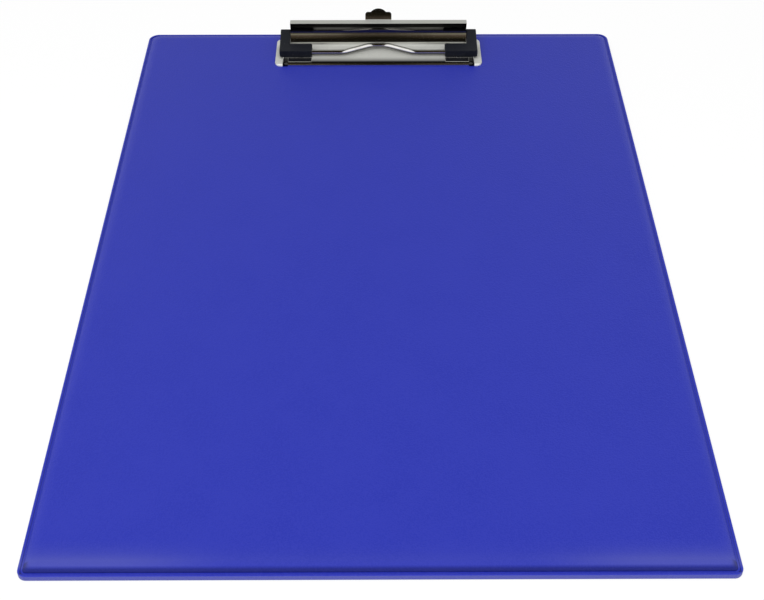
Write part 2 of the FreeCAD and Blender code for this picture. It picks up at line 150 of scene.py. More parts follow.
class Graph:
    """A node tree that is filled through one node-making method."""

    MIX_FACTOR, MIX_A, MIX_B, MIX_RESULT = 0, 6, 7, 2

    def __init__(self, tree: bpy.types.NodeTree) -> None:
        """Start from an empty tree."""
        self.tree = tree
        tree.nodes.clear()

    def plug(self, socket: bpy.types.NodeSocket, value: Any) -> None:
        """Link a value to a socket, or set the socket to a plain number or colour.

        Args:
            socket: The input.
            value: What goes into it.
        """
        if isinstance(value, Value):
            self.tree.links.new(value.socket, socket)
        else:
            socket.default_value = value

    def node(self, kind: str, settings: dict[str, Any] | None = None,
             inputs: dict[int | str, Any] | None = None, output: int | str = 0) -> Value:
        """Add one node.

        Args:
            kind: The node's type name.
            settings: Its properties, set first. "stops" gives a ramp's positions and colours.
            inputs: Values or links of its sockets, by name or place.
            output: The output that is returned.

        Returns:
            The chosen output as a value.
        """
        made = self.tree.nodes.new(kind)
        for name, value in (settings or {}).items():
            if name == "stops":
                ramp = made.color_ramp.elements
                for index, (place, colour) in enumerate(value):
                    stop = ramp[index] if index < 2 else ramp.new(place)
                    stop.position = place
                    stop.color = colour
            else:
                setattr(made, name, value)
        for name, value in (inputs or {}).items():
            self.plug(made.inputs[name], value)
        return Value(self, made.outputs[output] if len(made.outputs) else None)

    def place(self, stretch: Triple = (1.0, 1.0, 1.0)) -> Value:
        """Object coordinates, scaled along each axis."""
        spot = self.node("ShaderNodeTexCoord", output="Object")
        return self.node("ShaderNodeMapping", {}, {"Vector": spot, "Scale": stretch})

    def axis(self, axis: str) -> Value:
        """Place of the shaded point along one axis of the object, in millimetres."""
        return self.node("ShaderNodeSeparateXYZ", {}, {0: self.place((1 / MM,) * 3)}, axis)

    def noise(self, place: Value, lumps: Lumps) -> Value:
        """Soft noise between 0 and 1.

        Args:
            place: Where it is taken.
            lumps: Its size and detail.

        Returns:
            The noise.
        """
        return self.node("ShaderNodeTexNoise", {}, {
            "Vector": place, "Scale": 1.0 / (lumps.size * MM), "Detail": lumps.detail,
            "Roughness": lumps.rough})

    def mix(self, factor: Any, first: Any, second: Any) -> Value:
        """Colour between two colours."""
        return self.node("ShaderNodeMix", {"data_type": "RGBA"}, {
            self.MIX_FACTOR: factor, self.MIX_A: first, self.MIX_B: second}, self.MIX_RESULT)

    def darken(self, colour: Value, share: Value) -> Value:
        """Colour brought down to a share of itself."""
        return self.mix(share, BLACK, colour)

    def ramp(self, value: Value, low: float, high: float) -> Value:
        """Smooth step from 0 at low to 1 at high."""
        return self.node("ShaderNodeMapRange", {"interpolation_type": "SMOOTHSTEP"}, {
            "Value": value, "From Min": low, "From Max": high})

    def past(self, axis: str, bounds: Pair, either: bool = False) -> Value:
        """1 past two places along an axis, or past them on either side of the middle."""
        place = self.axis(axis)
        return self.ramp(abs(place) if either else place, *bounds)

    def bump(self, height: Value, depth: float) -> Value:
        """Normal of a surface with the given height pattern, depth in millimetres."""
        return self.node("ShaderNodeBump", {}, {
            "Height": height, "Distance": depth * MM, "Strength": 1.0})

    def bumps(self, broad: Value, broad_depth: float, fine: Value, fine_depth: float) -> Value:
        """Normal of a fine pattern over a broad one.

        Args:
            broad: Height pattern of the broad one.
            broad_depth: Its depth in millimetres.
            fine: Height pattern of the fine one.
            fine_depth: Its depth in millimetres.

        Returns:
            The normal.
        """
        slow = self.bump(broad, broad_depth)
        self.plug(slow.socket.node.inputs["Normal"], self.bump(fine, fine_depth))
        return slow


@dataclass(frozen=True)
class Tone:
    """Painted light and shade along one axis, as stops of place in millimetres and share.

    A lean makes the bands follow a slope, as height over the way towards +Y.
    """

    axis: str
    stops: tuple[Pair, ...]
    lean: float = 0.0

    def share(self, graph: Graph) -> Value:
        """Share of the brightness that is left at each place.

        Args:
            graph: The graph that is filled.

        Returns:
            The share, from 0 to 1.
        """
        low, high = self.stops[0][0], self.stops[-1][0]
        stops = [((place - low) / (high - low), (share, share, share, 1.0))
                 for place, share in self.stops]
        along = graph.axis(self.axis)
        if self.lean:
            along = along - graph.axis("Y") * self.lean
        shade = graph.node("ShaderNodeValToRGB", {"stops": stops},
                           {"Fac": (along - low) * (1 / (high - low))})
        return graph.node("ShaderNodeSeparateColor", {}, {0: shade})


@dataclass(frozen=True)
class Finish:
    """A finish of one material slot."""

    slot: str
    colour: Colour
    roughness: float

    def shade(self, graph: Graph) -> dict[str, Any]:
        """Sockets of the surface shader; each finish gives its own."""
        raise NotImplementedError

    def material(self, name: str) -> bpy.types.Material:
        """Build the material.

        Args:
            name: The material's name.

        Returns:
            A new material with this finish.
        """
        made = bpy.data.materials.new(name)
        made.use_nodes = True
        graph = Graph(made.node_tree)
        surface = graph.node("ShaderNodeBsdfPrincipled", {}, self.shade(graph))
        graph.node("ShaderNodeOutputMaterial", {}, {"Surface": surface})
        return made


@dataclass(frozen=True)
class CoverVinyl(Finish):
    """Welded plastic sheet with a fine leather grain and a satin sheen.

    It is paler at its weld, and on the bead's face that paleness is also a painted reflection of
    the floor. Just behind the front edge it has a painted sheen, and its rolled edge and groove
    carry painted shade.
    """

    worn: Colour = (0.022, 0.032, 0.365, 1.0)
    weld: Colour = (0.06, 0.07, 0.36, 1.0)
    # The paler weld colour lies below these heights. At the bead it is lifted over its face,
    # where it is partly a painted reflection of the floor.
    weld_z: Pair = (1.75, 1.88)
    weld_rise: float = 0.45
    # Painted shade on the panel's rolled edge, in bands of height.
    roll: Tone = Tone("Z", ((1.95, 1.0), (2.05, 0.44), (2.65, 0.44), (2.85, 0.54), (3.0, 0.75),
                            (3.15, 1.0)))
    # Painted shade in the groove, away from the front edge.
    groove_painted_shade: Tone = Tone("Z", ((1.8, 0.4), (2.1, 0.4), (2.3, 1.0)))
    # Painted sheen: just behind the front edge the colour is paled, most towards the corners.
    painted_sheen: Tone = Tone("Y", ((-167.4, 0.0), (-166.2, 0.8), (-164.3, 0.84), (-163.0, 0.58),
                            (-161.3, 0.3), (-158.7, 0.1), (-156.0, 0.0)))
    painted_sheen_share: float = 0.25
    painted_sheen_x: Pair = (45.0, 90.0)
    front_y: Pair = (-166.0, -164.0)
    rim_x: Pair = (116.4, 116.6)
    rim_y: Pair = (168.9, 169.1)
    gloss: float = 0.25
    cell_size: float = 0.55
    cell_smoothness: float = 0.6
    cell_share: float = 0.6
    cell_mean: float = 0.4
    cell_tint: float = 1.5
    grain_depth: float = 0.12
    fine: Lumps = Lumps(1.21, 3.0, 0.6)
    fine_share: float = 0.5
    mottle: Lumps = Lumps(22.0, 4.0, 0.6)
    cloud: Pair = (0.3, 0.75)
    swell: Lumps = Lumps(60.0, 1.0)
    swell_depth: float = 0.10
    sheen: Pair = (0.06, 0.08)

    def shade(self, graph: Graph) -> dict[str, Any]:
        """Grain cells over a slow swell, with cloudy colour, sheen and painted light and shade.

        Args:
            graph: The graph that is filled.

        Returns:
            Sockets of the surface shader, with what goes into each.
        """
        place = graph.place()
        cells = graph.node("ShaderNodeTexVoronoi", {"feature": "SMOOTH_F1"}, {
            "Vector": place, "Scale": 1.0 / (self.cell_size * MM),
            "Smoothness": self.cell_smoothness})
        fine, mottle = graph.noise(place, self.fine), graph.noise(place, self.mottle)
        cloud = mottle + (cells - self.cell_mean) * self.cell_tint
        panel = graph.mix(graph.ramp(cloud, *self.cloud), self.colour, self.worn)
        # Painted sheen behind the front edge, strongest towards the corners.
        painted_sheen = self.painted_sheen_share + graph.past("X", self.painted_sheen_x, True) * (1.0 - self.painted_sheen_share)
        panel = graph.mix(self.painted_sheen.share(graph) * painted_sheen, panel, self.weld)
        # Painted shade on the rolled edge and in the groove; the bead itself is left out.
        rim = graph.past("X", self.rim_x, True) | graph.past("Y", self.rim_y, True)
        behind = graph.past("Y", self.front_y) * self.groove_painted_shade.share(graph)
        panel = graph.darken(panel, self.roll.share(graph) | rim | behind)
        # The weld colour is lifted onto the bead's face, partly as a painted reflection of the
        # floor.
        height = graph.axis("Z") - rim * self.weld_rise
        return {
            "Base Color": graph.mix(graph.ramp(height, *self.weld_z), self.weld, panel),
            "Roughness": (self.roughness + (mottle - 0.5) * self.sheen[0]
                          + (fine - 0.5) * self.sheen[1]),
            "Specular IOR Level": self.gloss,
            "Normal": graph.bumps(graph.noise(place, self.swell), self.swell_depth,
                                  cells * self.cell_share + fine * self.fine_share,
                                  self.grain_depth),
        }


@dataclass(frozen=True)
class PlatedMetal(Finish):
    """Metal with rolling streaks, faint scratches and a slightly uneven plating."""

    shadow: Colour = (0.62, 0.6, 0.57, 1.0)
    shadow_share: float = 0.6
    clouds: Lumps = Lumps(7.0, 4.0, 0.6)
    cloud: Pair = (0.35, 0.8)
    streaks: Lumps = Lumps(0.5, 4.0, 0.65)
    streak_depth: float = 0.0006
    streak_sheen: float = 0.05
    specks: Lumps = Lumps(0.5, 2.0, 0.7)
    speck: Pair = (0.66, 0.74)
    speck_sheen: float = 0.12
    wave: Lumps = Lumps(14.0, 1.0)
    wave_depth: float = 0.012
    stretch: Triple = (0.04, 1.0, 1.0)
    painted_shade: Tone | None = None

    def shade(self, graph: Graph) -> dict[str, Any]:
        """Streaks along the stock, a slow wave of the sheet, cloudy plating and painted shade.

        Args:
            graph: The graph that is filled.

        Returns:
            Sockets of the surface shader, with what goes into each.
        """
        place = graph.place()
        streaks = graph.noise(graph.place(self.stretch), self.streaks)
        specks = graph.ramp(graph.noise(place, self.specks), *self.speck)
        clouds = graph.ramp(graph.noise(place, self.clouds), *self.cloud)
        colour = graph.mix(clouds * self.shadow_share, self.colour, self.shadow)
        # Painted shade, where the finish gives it, darkens the colour in bands along one axis.
        return {
            "Base Color": graph.darken(colour, self.painted_shade.share(graph)) if self.painted_shade else colour,
            "Metallic": 1.0,
            "Roughness": self.roughness + streaks * self.streak_sheen + specks * self.speck_sheen,
            "Normal": graph.bumps(graph.noise(place, self.wave), self.wave_depth,
                                  streaks, self.streak_depth),
        }


@dataclass(frozen=True)
class FrostedMetal(PlatedMetal):
    """Plated metal whose level top is frosted and whose rolled edges are bright."""

    frost: Colour = (0.5, 0.51, 0.47, 1.0)
    frost_roughness: float = 0.5
    frost_metallic: float = 0.6
    frost_z: tuple[float, float, float, float] = (16.3, 16.6, 16.95, 17.1)
    crystals: Lumps = Lumps(0.8, 4.0, 0.7)
    crystal: Pair = (0.3, 0.8)
    crystal_share: float = 0.25

    def frosting(self, graph: Graph) -> Value:
        """Share of frost, between four heights."""
        return graph.past("Z", self.frost_z[:2]) * (1.0 - graph.past("Z", self.frost_z[2:]))

    def shade(self, graph: Graph) -> dict[str, Any]:
        """Bright plating mixed with frost.

        Args:
            graph: The graph that is filled.

        Returns:
            Sockets of the surface shader, with what goes into each.
        """
        sockets = super().shade(graph)
        frost = self.frosting(graph)
        crystals = graph.ramp(graph.noise(graph.place(), self.crystals), *self.crystal)
        tint = graph.mix(crystals * self.crystal_share, self.frost, self.shadow)
        sockets["Base Color"] = graph.mix(frost, sockets["Base Color"], tint)
        sockets["Metallic"] = 1.0 - frost * (1.0 - self.frost_metallic)
        sockets["Roughness"] = sockets["Roughness"] + frost * self.frost_roughness
        return sockets


@dataclass(frozen=True)
class PlateMetal(FrostedMetal):
    """The clip's plate: frosted, but polished at its front lip and in front of the grips."""

    tray_x: Pair = (47.3, 47.8)
    # Painted dark reflection along the front lip, painted shade that eases towards the back, and
    # painted light near the lever that offsets the shade it casts.
    lip: Tone = Tone("Y", ((138.15, 1.0), (138.3, 0.02), (138.7, 0.02), (139.0, 0.1),
                           (139.6, 0.18), (140.3, 0.28), (141.2, 0.42), (142.2, 0.53),
                           (143.2, 0.59), (151.0, 0.59), (153.5, 0.64), (156.5, 0.78)))
    flat_share: float = 0.62
    frost_y: Pair = (138.5, 139.0)
    mark_x: Pair = (33.0, 33.5)
    mark_end: Pair = (44.6, 45.2)
    mark_y: Pair = (141.5, 144.0)
    # Painted shade and dark reflection at the tray's two front corners, beside the grips.
    corner_painted_shade: float = 0.94

    def patch(self, graph: Graph, start: Pair, end: Pair) -> Value:
        """1 at the tray's front, between two distances from the middle."""
        return (graph.past("X", start, True) * (1.0 - graph.past("X", end, True))
                * (1.0 - graph.past("Y", self.mark_y)))

    def marked(self, graph: Graph) -> Value:
        """1 where a grip's foot has polished the tray."""
        return self.patch(graph, self.mark_x, self.mark_end)

    def frosting(self, graph: Graph) -> Value:
        """Share of frost, on the tray's top behind its lip and on the flat ends."""
        top = super().frosting(graph) * graph.past("Y", self.frost_y)
        return (top | graph.past("X", self.tray_x, True)) * (1.0 - self.marked(graph))

    def shade(self, graph: Graph) -> dict[str, Any]:
        """Frosted plating with painted shade towards the tray's front and at its two front
        corners.

        Args:
            graph: The graph that is filled.

        Returns:
            Sockets of the surface shader, with what goes into each.
        """
        sockets = super().shade(graph)
        # Painted shade and reflection along the lip, kept off the polished patches and lessened
        # on the flat ends.
        share = self.lip.share(graph) | self.marked(graph)
        share = share | graph.past("X", self.tray_x, True) * self.flat_share
        corner = self.patch(graph, self.mark_end, self.tray_x)
        share = share * (1.0 - corner * self.corner_painted_shade)
        sockets["Base Color"] = graph.darken(sockets["Base Color"], share)
        return sockets


@dataclass(frozen=True)
class MouldedPlastic(Finish):
    """Dark moulded plastic with a spark-eroded grain."""

    rubbed: Colour = (0.016, 0.018, 0.022, 1.0)
    gloss: float = 0.15
    grain: Lumps = Lumps(0.35, 3.0, 0.6)
    grain_top: Pair = (0.4, 0.75)
    grain_depth: float = 0.03
    clouds: Lumps = Lumps(5.0, 3.0)
    cloud_share: float = 0.5
    sheen: float = 0.2

    def shade(self, graph: Graph) -> dict[str, Any]:
        """Fine grain whose tops are slightly paler and shinier.

        Args:
            graph: The graph that is filled.

        Returns:
            Sockets of the surface shader, with what goes into each.
        """
        place = graph.place()
        grain, clouds = graph.noise(place, self.grain), graph.noise(place, self.clouds)
        rubbed = 1.0 - self.cloud_share + clouds * self.cloud_share
        return {
            "Base Color": graph.mix(graph.ramp(grain, *self.grain_top) * rubbed,
                                    self.colour, self.rubbed),
            "Roughness": self.roughness + (clouds - 0.5) * self.sheen,
            "Specular IOR Level": self.gloss,
            "Normal": graph.bump(grain, self.grain_depth),
        }


@dataclass(frozen=True)
class PressedFibre(Finish):
    """Dense brown fibreboard."""

    pale: Colour = (0.46, 0.35, 0.24, 1.0)
    fibres: Lumps = Lumps(1.2, 5.0, 0.7)
    fibre_top: Pair = (0.4, 0.7)
    fibre_depth: float = 0.05
    stretch: Triple = (0.3, 1.0, 1.0)
    sheen: float = 0.1

    def shade(self, graph: Graph) -> dict[str, Any]:
        """Short pale fibres in a darker board.

        Args:
            graph: The graph that is filled.

        Returns:
            Sockets of the surface shader, with what goes into each.
        """
        fibres = graph.noise(graph.place(self.stretch), self.fibres)
        return {
            "Base Color": graph.mix(graph.ramp(fibres, *self.fibre_top), self.colour, self.pale),
            "Roughness": self.roughness + fibres * self.sheen,
            "Normal": graph.bump(fibres, self.fibre_depth),
        }


# Painted shade and painted dark reflections in the lever's concave web, in bands of height; the
# flange above stays bright.
WEB_PAINTED_SHADE = Tone("Z", ((10.6, 1.0), (10.85, 0.14), (12.2, 0.14), (12.5, 0.27), (13.6, 0.32),
                      (13.95, 0.02), (16.45, 0.02), (16.62, 1.0)))
# Painted shade and painted reflection on the wire's underside, in a band that follows its slope.
WIRE_PAINTED_SHADE = Tone("Z", ((-8.95, 0.13), (-8.6, 1.0)), 0.1116)

VINYL = CoverVinyl("cover_sheet", (0.017, 0.027, 0.345, 1.0), 0.42)
FIBRE = PressedFibre("core", (0.3, 0.21, 0.13, 1.0), 0.8)
PLATE_NICKEL = PlateMetal("plate_chrome", (0.86, 0.85, 0.82, 1.0), 0.05,
                          frost=(0.93, 0.94, 0.88, 1.0), frost_z=(5.1, 5.19, 100.0, 101.0),
                          frost_metallic=0.1)
LEVER_NICKEL = FrostedMetal("lever_chrome", (0.84, 0.82, 0.78, 1.0), 0.06, painted_shade=WEB_PAINTED_SHADE)
WIRE_NICKEL = PlatedMetal("wire_chrome", (0.88, 0.87, 0.84, 1.0), 0.05,
                          wave_depth=0.0, stretch=(0.2, 0.2, 0.2), painted_shade=WIRE_PAINTED_SHADE)
GRIP_BLACK = MouldedPlastic("grip_plastic", (0.004, 0.005, 0.009, 1.0), 0.55)
RIVET_NICKEL = PlatedMetal("rivet_steel", (0.8, 0.79, 0.76, 1.0), 0.16,
                           wave_depth=0.0, stretch=(1.0, 1.0, 1.0))
WASHER_ZINC = PlatedMetal("washer_steel", (0.66, 0.67, 0.69, 1.0), 0.3,
                          streak_depth=0.004, wave_depth=0.0, stretch=(0.15, 1.0, 1.0))
SPRING_WIRE = PlatedMetal("spring_steel", (0.5, 0.49, 0.48, 1.0), 0.28,
                          wave_depth=0.0, stretch=(1.0, 0.2, 0.2))


# Mesh work


def point_about(centre: Pair, radius: float, degrees: float) -> Pair:
    """Point on a circle in a drawing plane."""
    angle = math.radians(degrees)
    return centre[0] + radius * math.cos(angle), centre[1] + radius * math.sin(angle)


def of_kind(items: Iterable[Any], kind: type) -> list[Any]:
    """Mesh elements of one kind."""
    return [item for item in items if isinstance(item, kind)]


class Workpiece:
    """A mesh in millimetres under construction."""

    BROKEN_EDGE_STEPS = 3

    def __init__(self) -> None:
        """Start an empty mesh."""
        self.bm: BMesh = bmesh.new()

    def shift(self, verts: Sequence[BMVert], move: Sequence[float]) -> None:
        """Move some of the points."""
        bmesh.ops.translate(self.bm, vec=move, verts=verts)

    def rounded_face(self, x: Pair, y: Pair, radius: float, z: float, segments: int = 10,
                     front_radius: float | None = None) -> BMFace:
        """Level rectangle with round corners.

        Args:
            x: Lower and upper X.
            y: Lower and upper Y.
            radius: Corner radius.
            z: Height of the face.
            segments: Steps of each corner.
            front_radius: Radius of the two corners at the lower Y, where it differs.

        Returns:
            The one face.
        """
        verts = bmesh.ops.create_grid(self.bm, x_segments=1, y_segments=1, size=0.5)["verts"]
        bmesh.ops.scale(self.bm, vec=(x[1] - x[0], y[1] - y[0], 1), verts=verts)
        middle = Vector(((x[0] + x[1]) / 2, (y[0] + y[1]) / 2, z))
        self.shift(verts, middle)
        ends = ([vert for vert in verts if vert.co.y > middle.y],
                [vert for vert in verts if vert.co.y < middle.y])
        for corners, size in zip(ends, (radius, front_radius or radius)):
            made = bmesh.ops.bevel(self.bm, geom=corners, offset=size, offset_type="OFFSET",
                                   segments=segments, profile=0.5, affect="VERTICES",
                                   material=-1)
        return made["verts"][0].link_faces[0]

    def disc(self, radius: float, x: float, y: float, z: float, segments: int = 40) -> BMFace:
        """Level round face.

        Args:
            radius: Its radius.
            x: X of its middle.
            y: Y of its middle.
            z: Its height.
            segments: Steps of its edge.

        Returns:
            The one face.
        """
        made = bmesh.ops.create_circle(self.bm, cap_ends=True, segments=segments, radius=radius,
                                       matrix=Matrix.Translation((x, y, z)))
        return made["verts"][0].link_faces[0]

    def extrude(self, faces: Sequence[BMFace], move: Sequence[float]) -> list[BMFace]:
        """Extrude faces together.

        Args:
            faces: Faces that touch.
            move: How far and which way they go.

        Returns:
            The faces at the far end.
        """
        made = bmesh.ops.extrude_face_region(self.bm, geom=faces)["geom"]
        self.shift(of_kind(made, BMVert), move)
        return of_kind(made, BMFace)

    def push(self, face: BMFace, move: Sequence[float], keep: bool = False) -> BMFace:
        """Extrude one face.

        Args:
            face: The face, alone or in a closed mesh.
            move: How far and which way it goes.
            keep: Whether it also stays where it was, to close the work there.

        Returns:
            The face at the far end.
        """
        far = self.extrude([face], move)[0]
        if not keep:
            bmesh.ops.delete(self.bm, geom=[face], context="FACES_ONLY")
        return far

    def lift(self, face: BMFace, rise: float, keep: bool = False) -> BMFace:
        """Extrude a level face up, or down for a negative rise."""
        return self.push(face, (0, 0, rise), keep)

    def step(self, face: BMFace, draw: float, rise: float = 0.0) -> None:
        """Draw a level face in by an even border and lift what is inside it."""
        bmesh.ops.inset_region(self.bm, faces=[face], thickness=draw, use_even_offset=True)
        self.shift(face.verts, (0, 0, rise))

    def rounded_step(self, face: BMFace, radius: float, turn: Pair, steps: int) -> None:
        """Draw a level face in along an arc.

        Args:
            face: The face.
            radius: The arc's radius.
            turn: The arc's first and last angle.
            steps: Steps of the arc.
        """
        last = turn[0]
        for index in range(1, steps + 1):
            angle = turn[0] + (turn[1] - turn[0]) * index / steps
            draw = radius * (math.cos(math.radians(last)) - math.cos(math.radians(angle)))
            rise = radius * (math.sin(math.radians(angle)) - math.sin(math.radians(last)))
            self.step(face, draw, rise)
            last = angle

    def roll(self, face: BMFace, draw: float, drop: float, steps: int) -> BMFace:
        """Round a level face's edge along a quarter of an ellipse, by extruding and shrinking.

        Args:
            face: The face, at the foot of the round.
            draw: How far it is drawn in.
            drop: How far its edge lies below its middle.
            steps: Steps of the round.

        Returns:
            The face at the top.
        """
        middle = face.calc_center_bounds()
        half_x = max(vert.co.x for vert in face.verts) - middle.x
        half_y = max(vert.co.y for vert in face.verts) - middle.y
        done_in, done_up = 0.0, 0.0
        for index in range(1, steps + 1):
            angle = math.radians(90 * index / steps)
            inward, upward = draw * (1 - math.cos(angle)), drop * math.sin(angle)
            face = self.lift(face, upward - done_up)
            ratio = ((half_x - inward) / (half_x - done_in),
                     (half_y - inward) / (half_y - done_in), 1)
            bmesh.ops.scale(self.bm, vec=ratio, verts=face.verts,
                            space=Matrix.Translation(-middle))
            done_in, done_up = inward, upward
        return face

    def fill(self, edges: Sequence[BMEdge]) -> list[BMFace]:
        """Fill an outline, with the openings that lie in it."""
        made = bmesh.ops.triangle_fill(self.bm, use_beauty=True, use_dissolve=False, edges=edges)
        return of_kind(made["geom"], BMFace)

    def drop_face(self, face: BMFace) -> list[BMEdge]:
        """Take a face out.

        Args:
            face: The face.

        Returns:
            The edges that it leaves.
        """
        loop = list(face.edges)
        bmesh.ops.delete(self.bm, geom=[face], context="FACES_ONLY")
        return loop

    def open_face(self, face: BMFace, loops: Iterable[Sequence[BMEdge]]) -> None:
        """Replace a face by one with openings at the given loops."""
        self.fill(self.drop_face(face) + [line for loop in loops for line in loop])

    def cup(self, disc: BMFace, rise: float, draw: float) -> list[BMEdge]:
        """Press a disc up or down and punch a hole in its floor.

        Args:
            disc: The level disc.
            rise: How far up it goes.
            draw: Width of the floor round the hole.

        Returns:
            The loop of the hole.
        """
        floor = self.lift(disc, rise)
        self.step(floor, draw)
        return self.drop_face(floor)

    def bridge(self, pairs: Iterable[tuple[Sequence[BMEdge], Sequence[BMEdge]]]) -> None:
        """Join the two open loops of each pair with a wall."""
        for first, second in pairs:
            bmesh.ops.bridge_loops(self.bm, edges=list(first) + list(second))

    def finish(self, name: str, finish: Finish, edge: Edge = Edge.NONE,
               sharp_from: float = 35.0) -> bpy.types.Object:
        """Close the work and make the object.

        Args:
            name: Name of the piece.
            finish: Its finish.
            edge: How its outer edges are broken.
            sharp_from: Face angle from which an edge stays sharp.

        Returns:
            The object, at the origin, with its place in its mesh.
        """
        bm = self.bm
        bmesh.ops.remove_doubles(bm, verts=bm.verts, dist=WELD)
        bmesh.ops.recalc_face_normals(bm, faces=bm.faces)
        for face in bm.faces:
            face.smooth = True
        for line in bm.edges:
            line.smooth = line.calc_face_angle(0.0) < math.radians(sharp_from)
        bmesh.ops.scale(bm, vec=(MM, MM, MM), verts=bm.verts)
        mesh = bpy.data.meshes.new(name)
        bm.to_mesh(mesh)
        bm.free()
        made = bpy.data.objects.new(name, mesh)
        bpy.context.scene.collection.objects.link(made)
        mesh.materials.append(finish.material(name + "_finish"))
        if edge is not Edge.NONE:
            rounding = made.modifiers.new("broken_edges", "BEVEL")
            rounding.width = edge.value * MM
            rounding.segments = self.BROKEN_EDGE_STEPS
            rounding.limit_method = "ANGLE"
            rounding.angle_limit = math.radians(sharp_from)
        made.modifiers.new("face_weights", "WEIGHTED_NORMAL").keep_sharp = True
        return made

    def mount(self, body: Body, node: str, name: str, finish: Finish, *edges: Any) -> None:
        """Finish the piece and let it stand for its solid.

        Args:
            body: The body that it rides on.
            node: Solid that it takes the place of.
            name: Name of the piece.
            finish: Its finish.
        """
        piece = self.finish(name, finish, *edges)
        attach(piece, body.value)
        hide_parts(node)
        log.info("%s rides on %s for %s", piece.name, body.value, node)


class Pen:
    """Draws an outline in an upright plane at one X, point by point, as (Y, Z)."""

    def __init__(self, work: Workpiece, x: float, start: Pair) -> None:
        """Put the first point down.

        Args:
            work: The piece under construction.
            x: X of the drawing plane.
            start: First point.
        """
        self.work = work
        self.x = x
        self.before = set(work.bm.edges)
        self.first: BMVert = work.bm.verts.new((x, *start))
        self.last: BMVert = self.first

    def line(self, *places: Pair) -> "Pen":
        """Draw straight lines to the given places.

        Args:
            *places: The points.

        Returns:
            The pen.
        """
        for place in places:
            made = bmesh.ops.extrude_vert_indiv(self.work.bm, verts=[self.last])
            self.last = made["verts"][0]
            self.last.co = (self.x, *place)
        return self

    def arc(self, centre: Pair, degrees: float, steps: int) -> "Pen":
        """Draw an arc about a centre, anticlockwise seen from +X for a positive angle.

        Args:
            centre: The arc's centre.
            degrees: Its angle.
            steps: Its steps.

        Returns:
            The pen.
        """
        made = bmesh.ops.spin(self.work.bm, geom=[self.last], cent=(self.x, *centre),
                              axis=AXIS_X, angle=math.radians(degrees), steps=steps)
        self.last = of_kind(made["geom_last"], BMVert)[0]
        return self

    def close(self) -> list[BMEdge]:
        """Draw the last line back to the first point and return all the edges drawn."""
        self.work.bm.edges.new((self.last, self.first))
        return [line for line in self.work.bm.edges if line not in self.before]

    def face(self) -> BMFace:
        """Close the outline and fill it with one face."""
        return bmesh.ops.edgeloop_fill(self.work.bm, edges=self.close())["faces"][0]


def pin_hole(work: Workpiece, x: float, radius: float, steps: int = 24) -> list[BMEdge]:
    """Outline of a round hole about the hinge line."""
    hole = Pen(work, x, (HINGE[0] + radius, HINGE[1]))
    return hole.arc(HINGE, 360 * (steps - 1) / steps, steps - 1).close()


class WireBender:
    """Feeds and bends a round wire as a bending machine does."""

    def __init__(self, work: Workpiece, radius: float, start: Vector, heading: Vector,
                 facets: int = 24) -> None:
        """Clamp the wire's first end.

        Args:
            work: The piece under construction.
            radius: The wire's radius.
            start: Middle of its first end.
            heading: The way it runs.
            facets: Facets round the wire.
        """
        self.work = work
        self.place = start.copy()
        self.heading = heading.normalized()
        turn = self.heading.to_track_quat("Z", "Y").to_matrix().to_4x4()
        made = bmesh.ops.create_circle(work.bm, cap_ends=True, segments=facets, radius=radius,
                                       matrix=Matrix.Translation(start) @ turn)
        self.ring = list(made["verts"][0].link_faces[0].edges)

    def _points(self) -> list[BMVert]:
        """Points of the ring at the wire's end."""
        return list({vert for line in self.ring for vert in line.verts})

    def _take(self, items: Sequence[Any]) -> None:
        """Keep the ring at the wire's new end."""
        verts = set(of_kind(items, BMVert))
        self.ring = [line for line in of_kind(items, BMEdge) if verts.issuperset(line.verts)]

    def feed(self, length: float) -> None:
        """Run straight on by a length.

        Args:
            length: How far.
        """
        self._take(bmesh.ops.extrude_edge_only(self.work.bm, edges=self.ring)["geom"])
        move = self.heading * length
        self.work.shift(self._points(), move)
        self.place += move

    def bend(self, centre: Vector, axis: Vector, degrees: float, steps: int,
             advance: float = 0.0) -> None:
        """Turn about an axis.

        Args:
            centre: A point on the axis.
            axis: Its direction.
            degrees: How far the wire turns.
            steps: Steps of the bend.
            advance: How far it moves on along the axis in all.
        """
        made = bmesh.ops.spin(self.work.bm, geom=self.ring + self._points(), cent=centre,
                              axis=axis, angle=math.radians(degrees),
                              dvec=axis * (advance / steps), steps=steps)
        self._take(made["geom_last"])
        turn = Matrix.Rotation(math.radians(degrees), 3, axis)
        self.place = centre + turn @ (self.place - centre) + axis * advance
        self.heading = turn @ self.heading

    def follow(self, corners: Sequence[Vector], radii: Sequence[float], steps: int = 12) -> None:
        """Run along straight lines with a bend at each inner corner.

        Args:
            corners: Corners after the wire's first end, the last one being its far end.
            radii: Bend radius at each corner but the last.
            steps: Steps of each bend.
        """
        for corner, following, radius in zip(corners, corners[1:], radii):
            onward = (following - corner).normalized()
            angle = self.heading.angle(onward)
            self.feed((corner - self.place).length - radius * math.tan(angle / 2))
            axis = self.heading.cross(onward).normalized()
            centre = self.place + axis.cross(self.heading) * radius
            self.bend(centre, axis, math.degrees(angle), steps)
        self.feed((corners[-1] - self.place).length)

    def crop(self) -> None:
        """Close the wire's far end."""
        bmesh.ops.edgeloop_fill(self.work.bm, edges=self.ring)


# The board


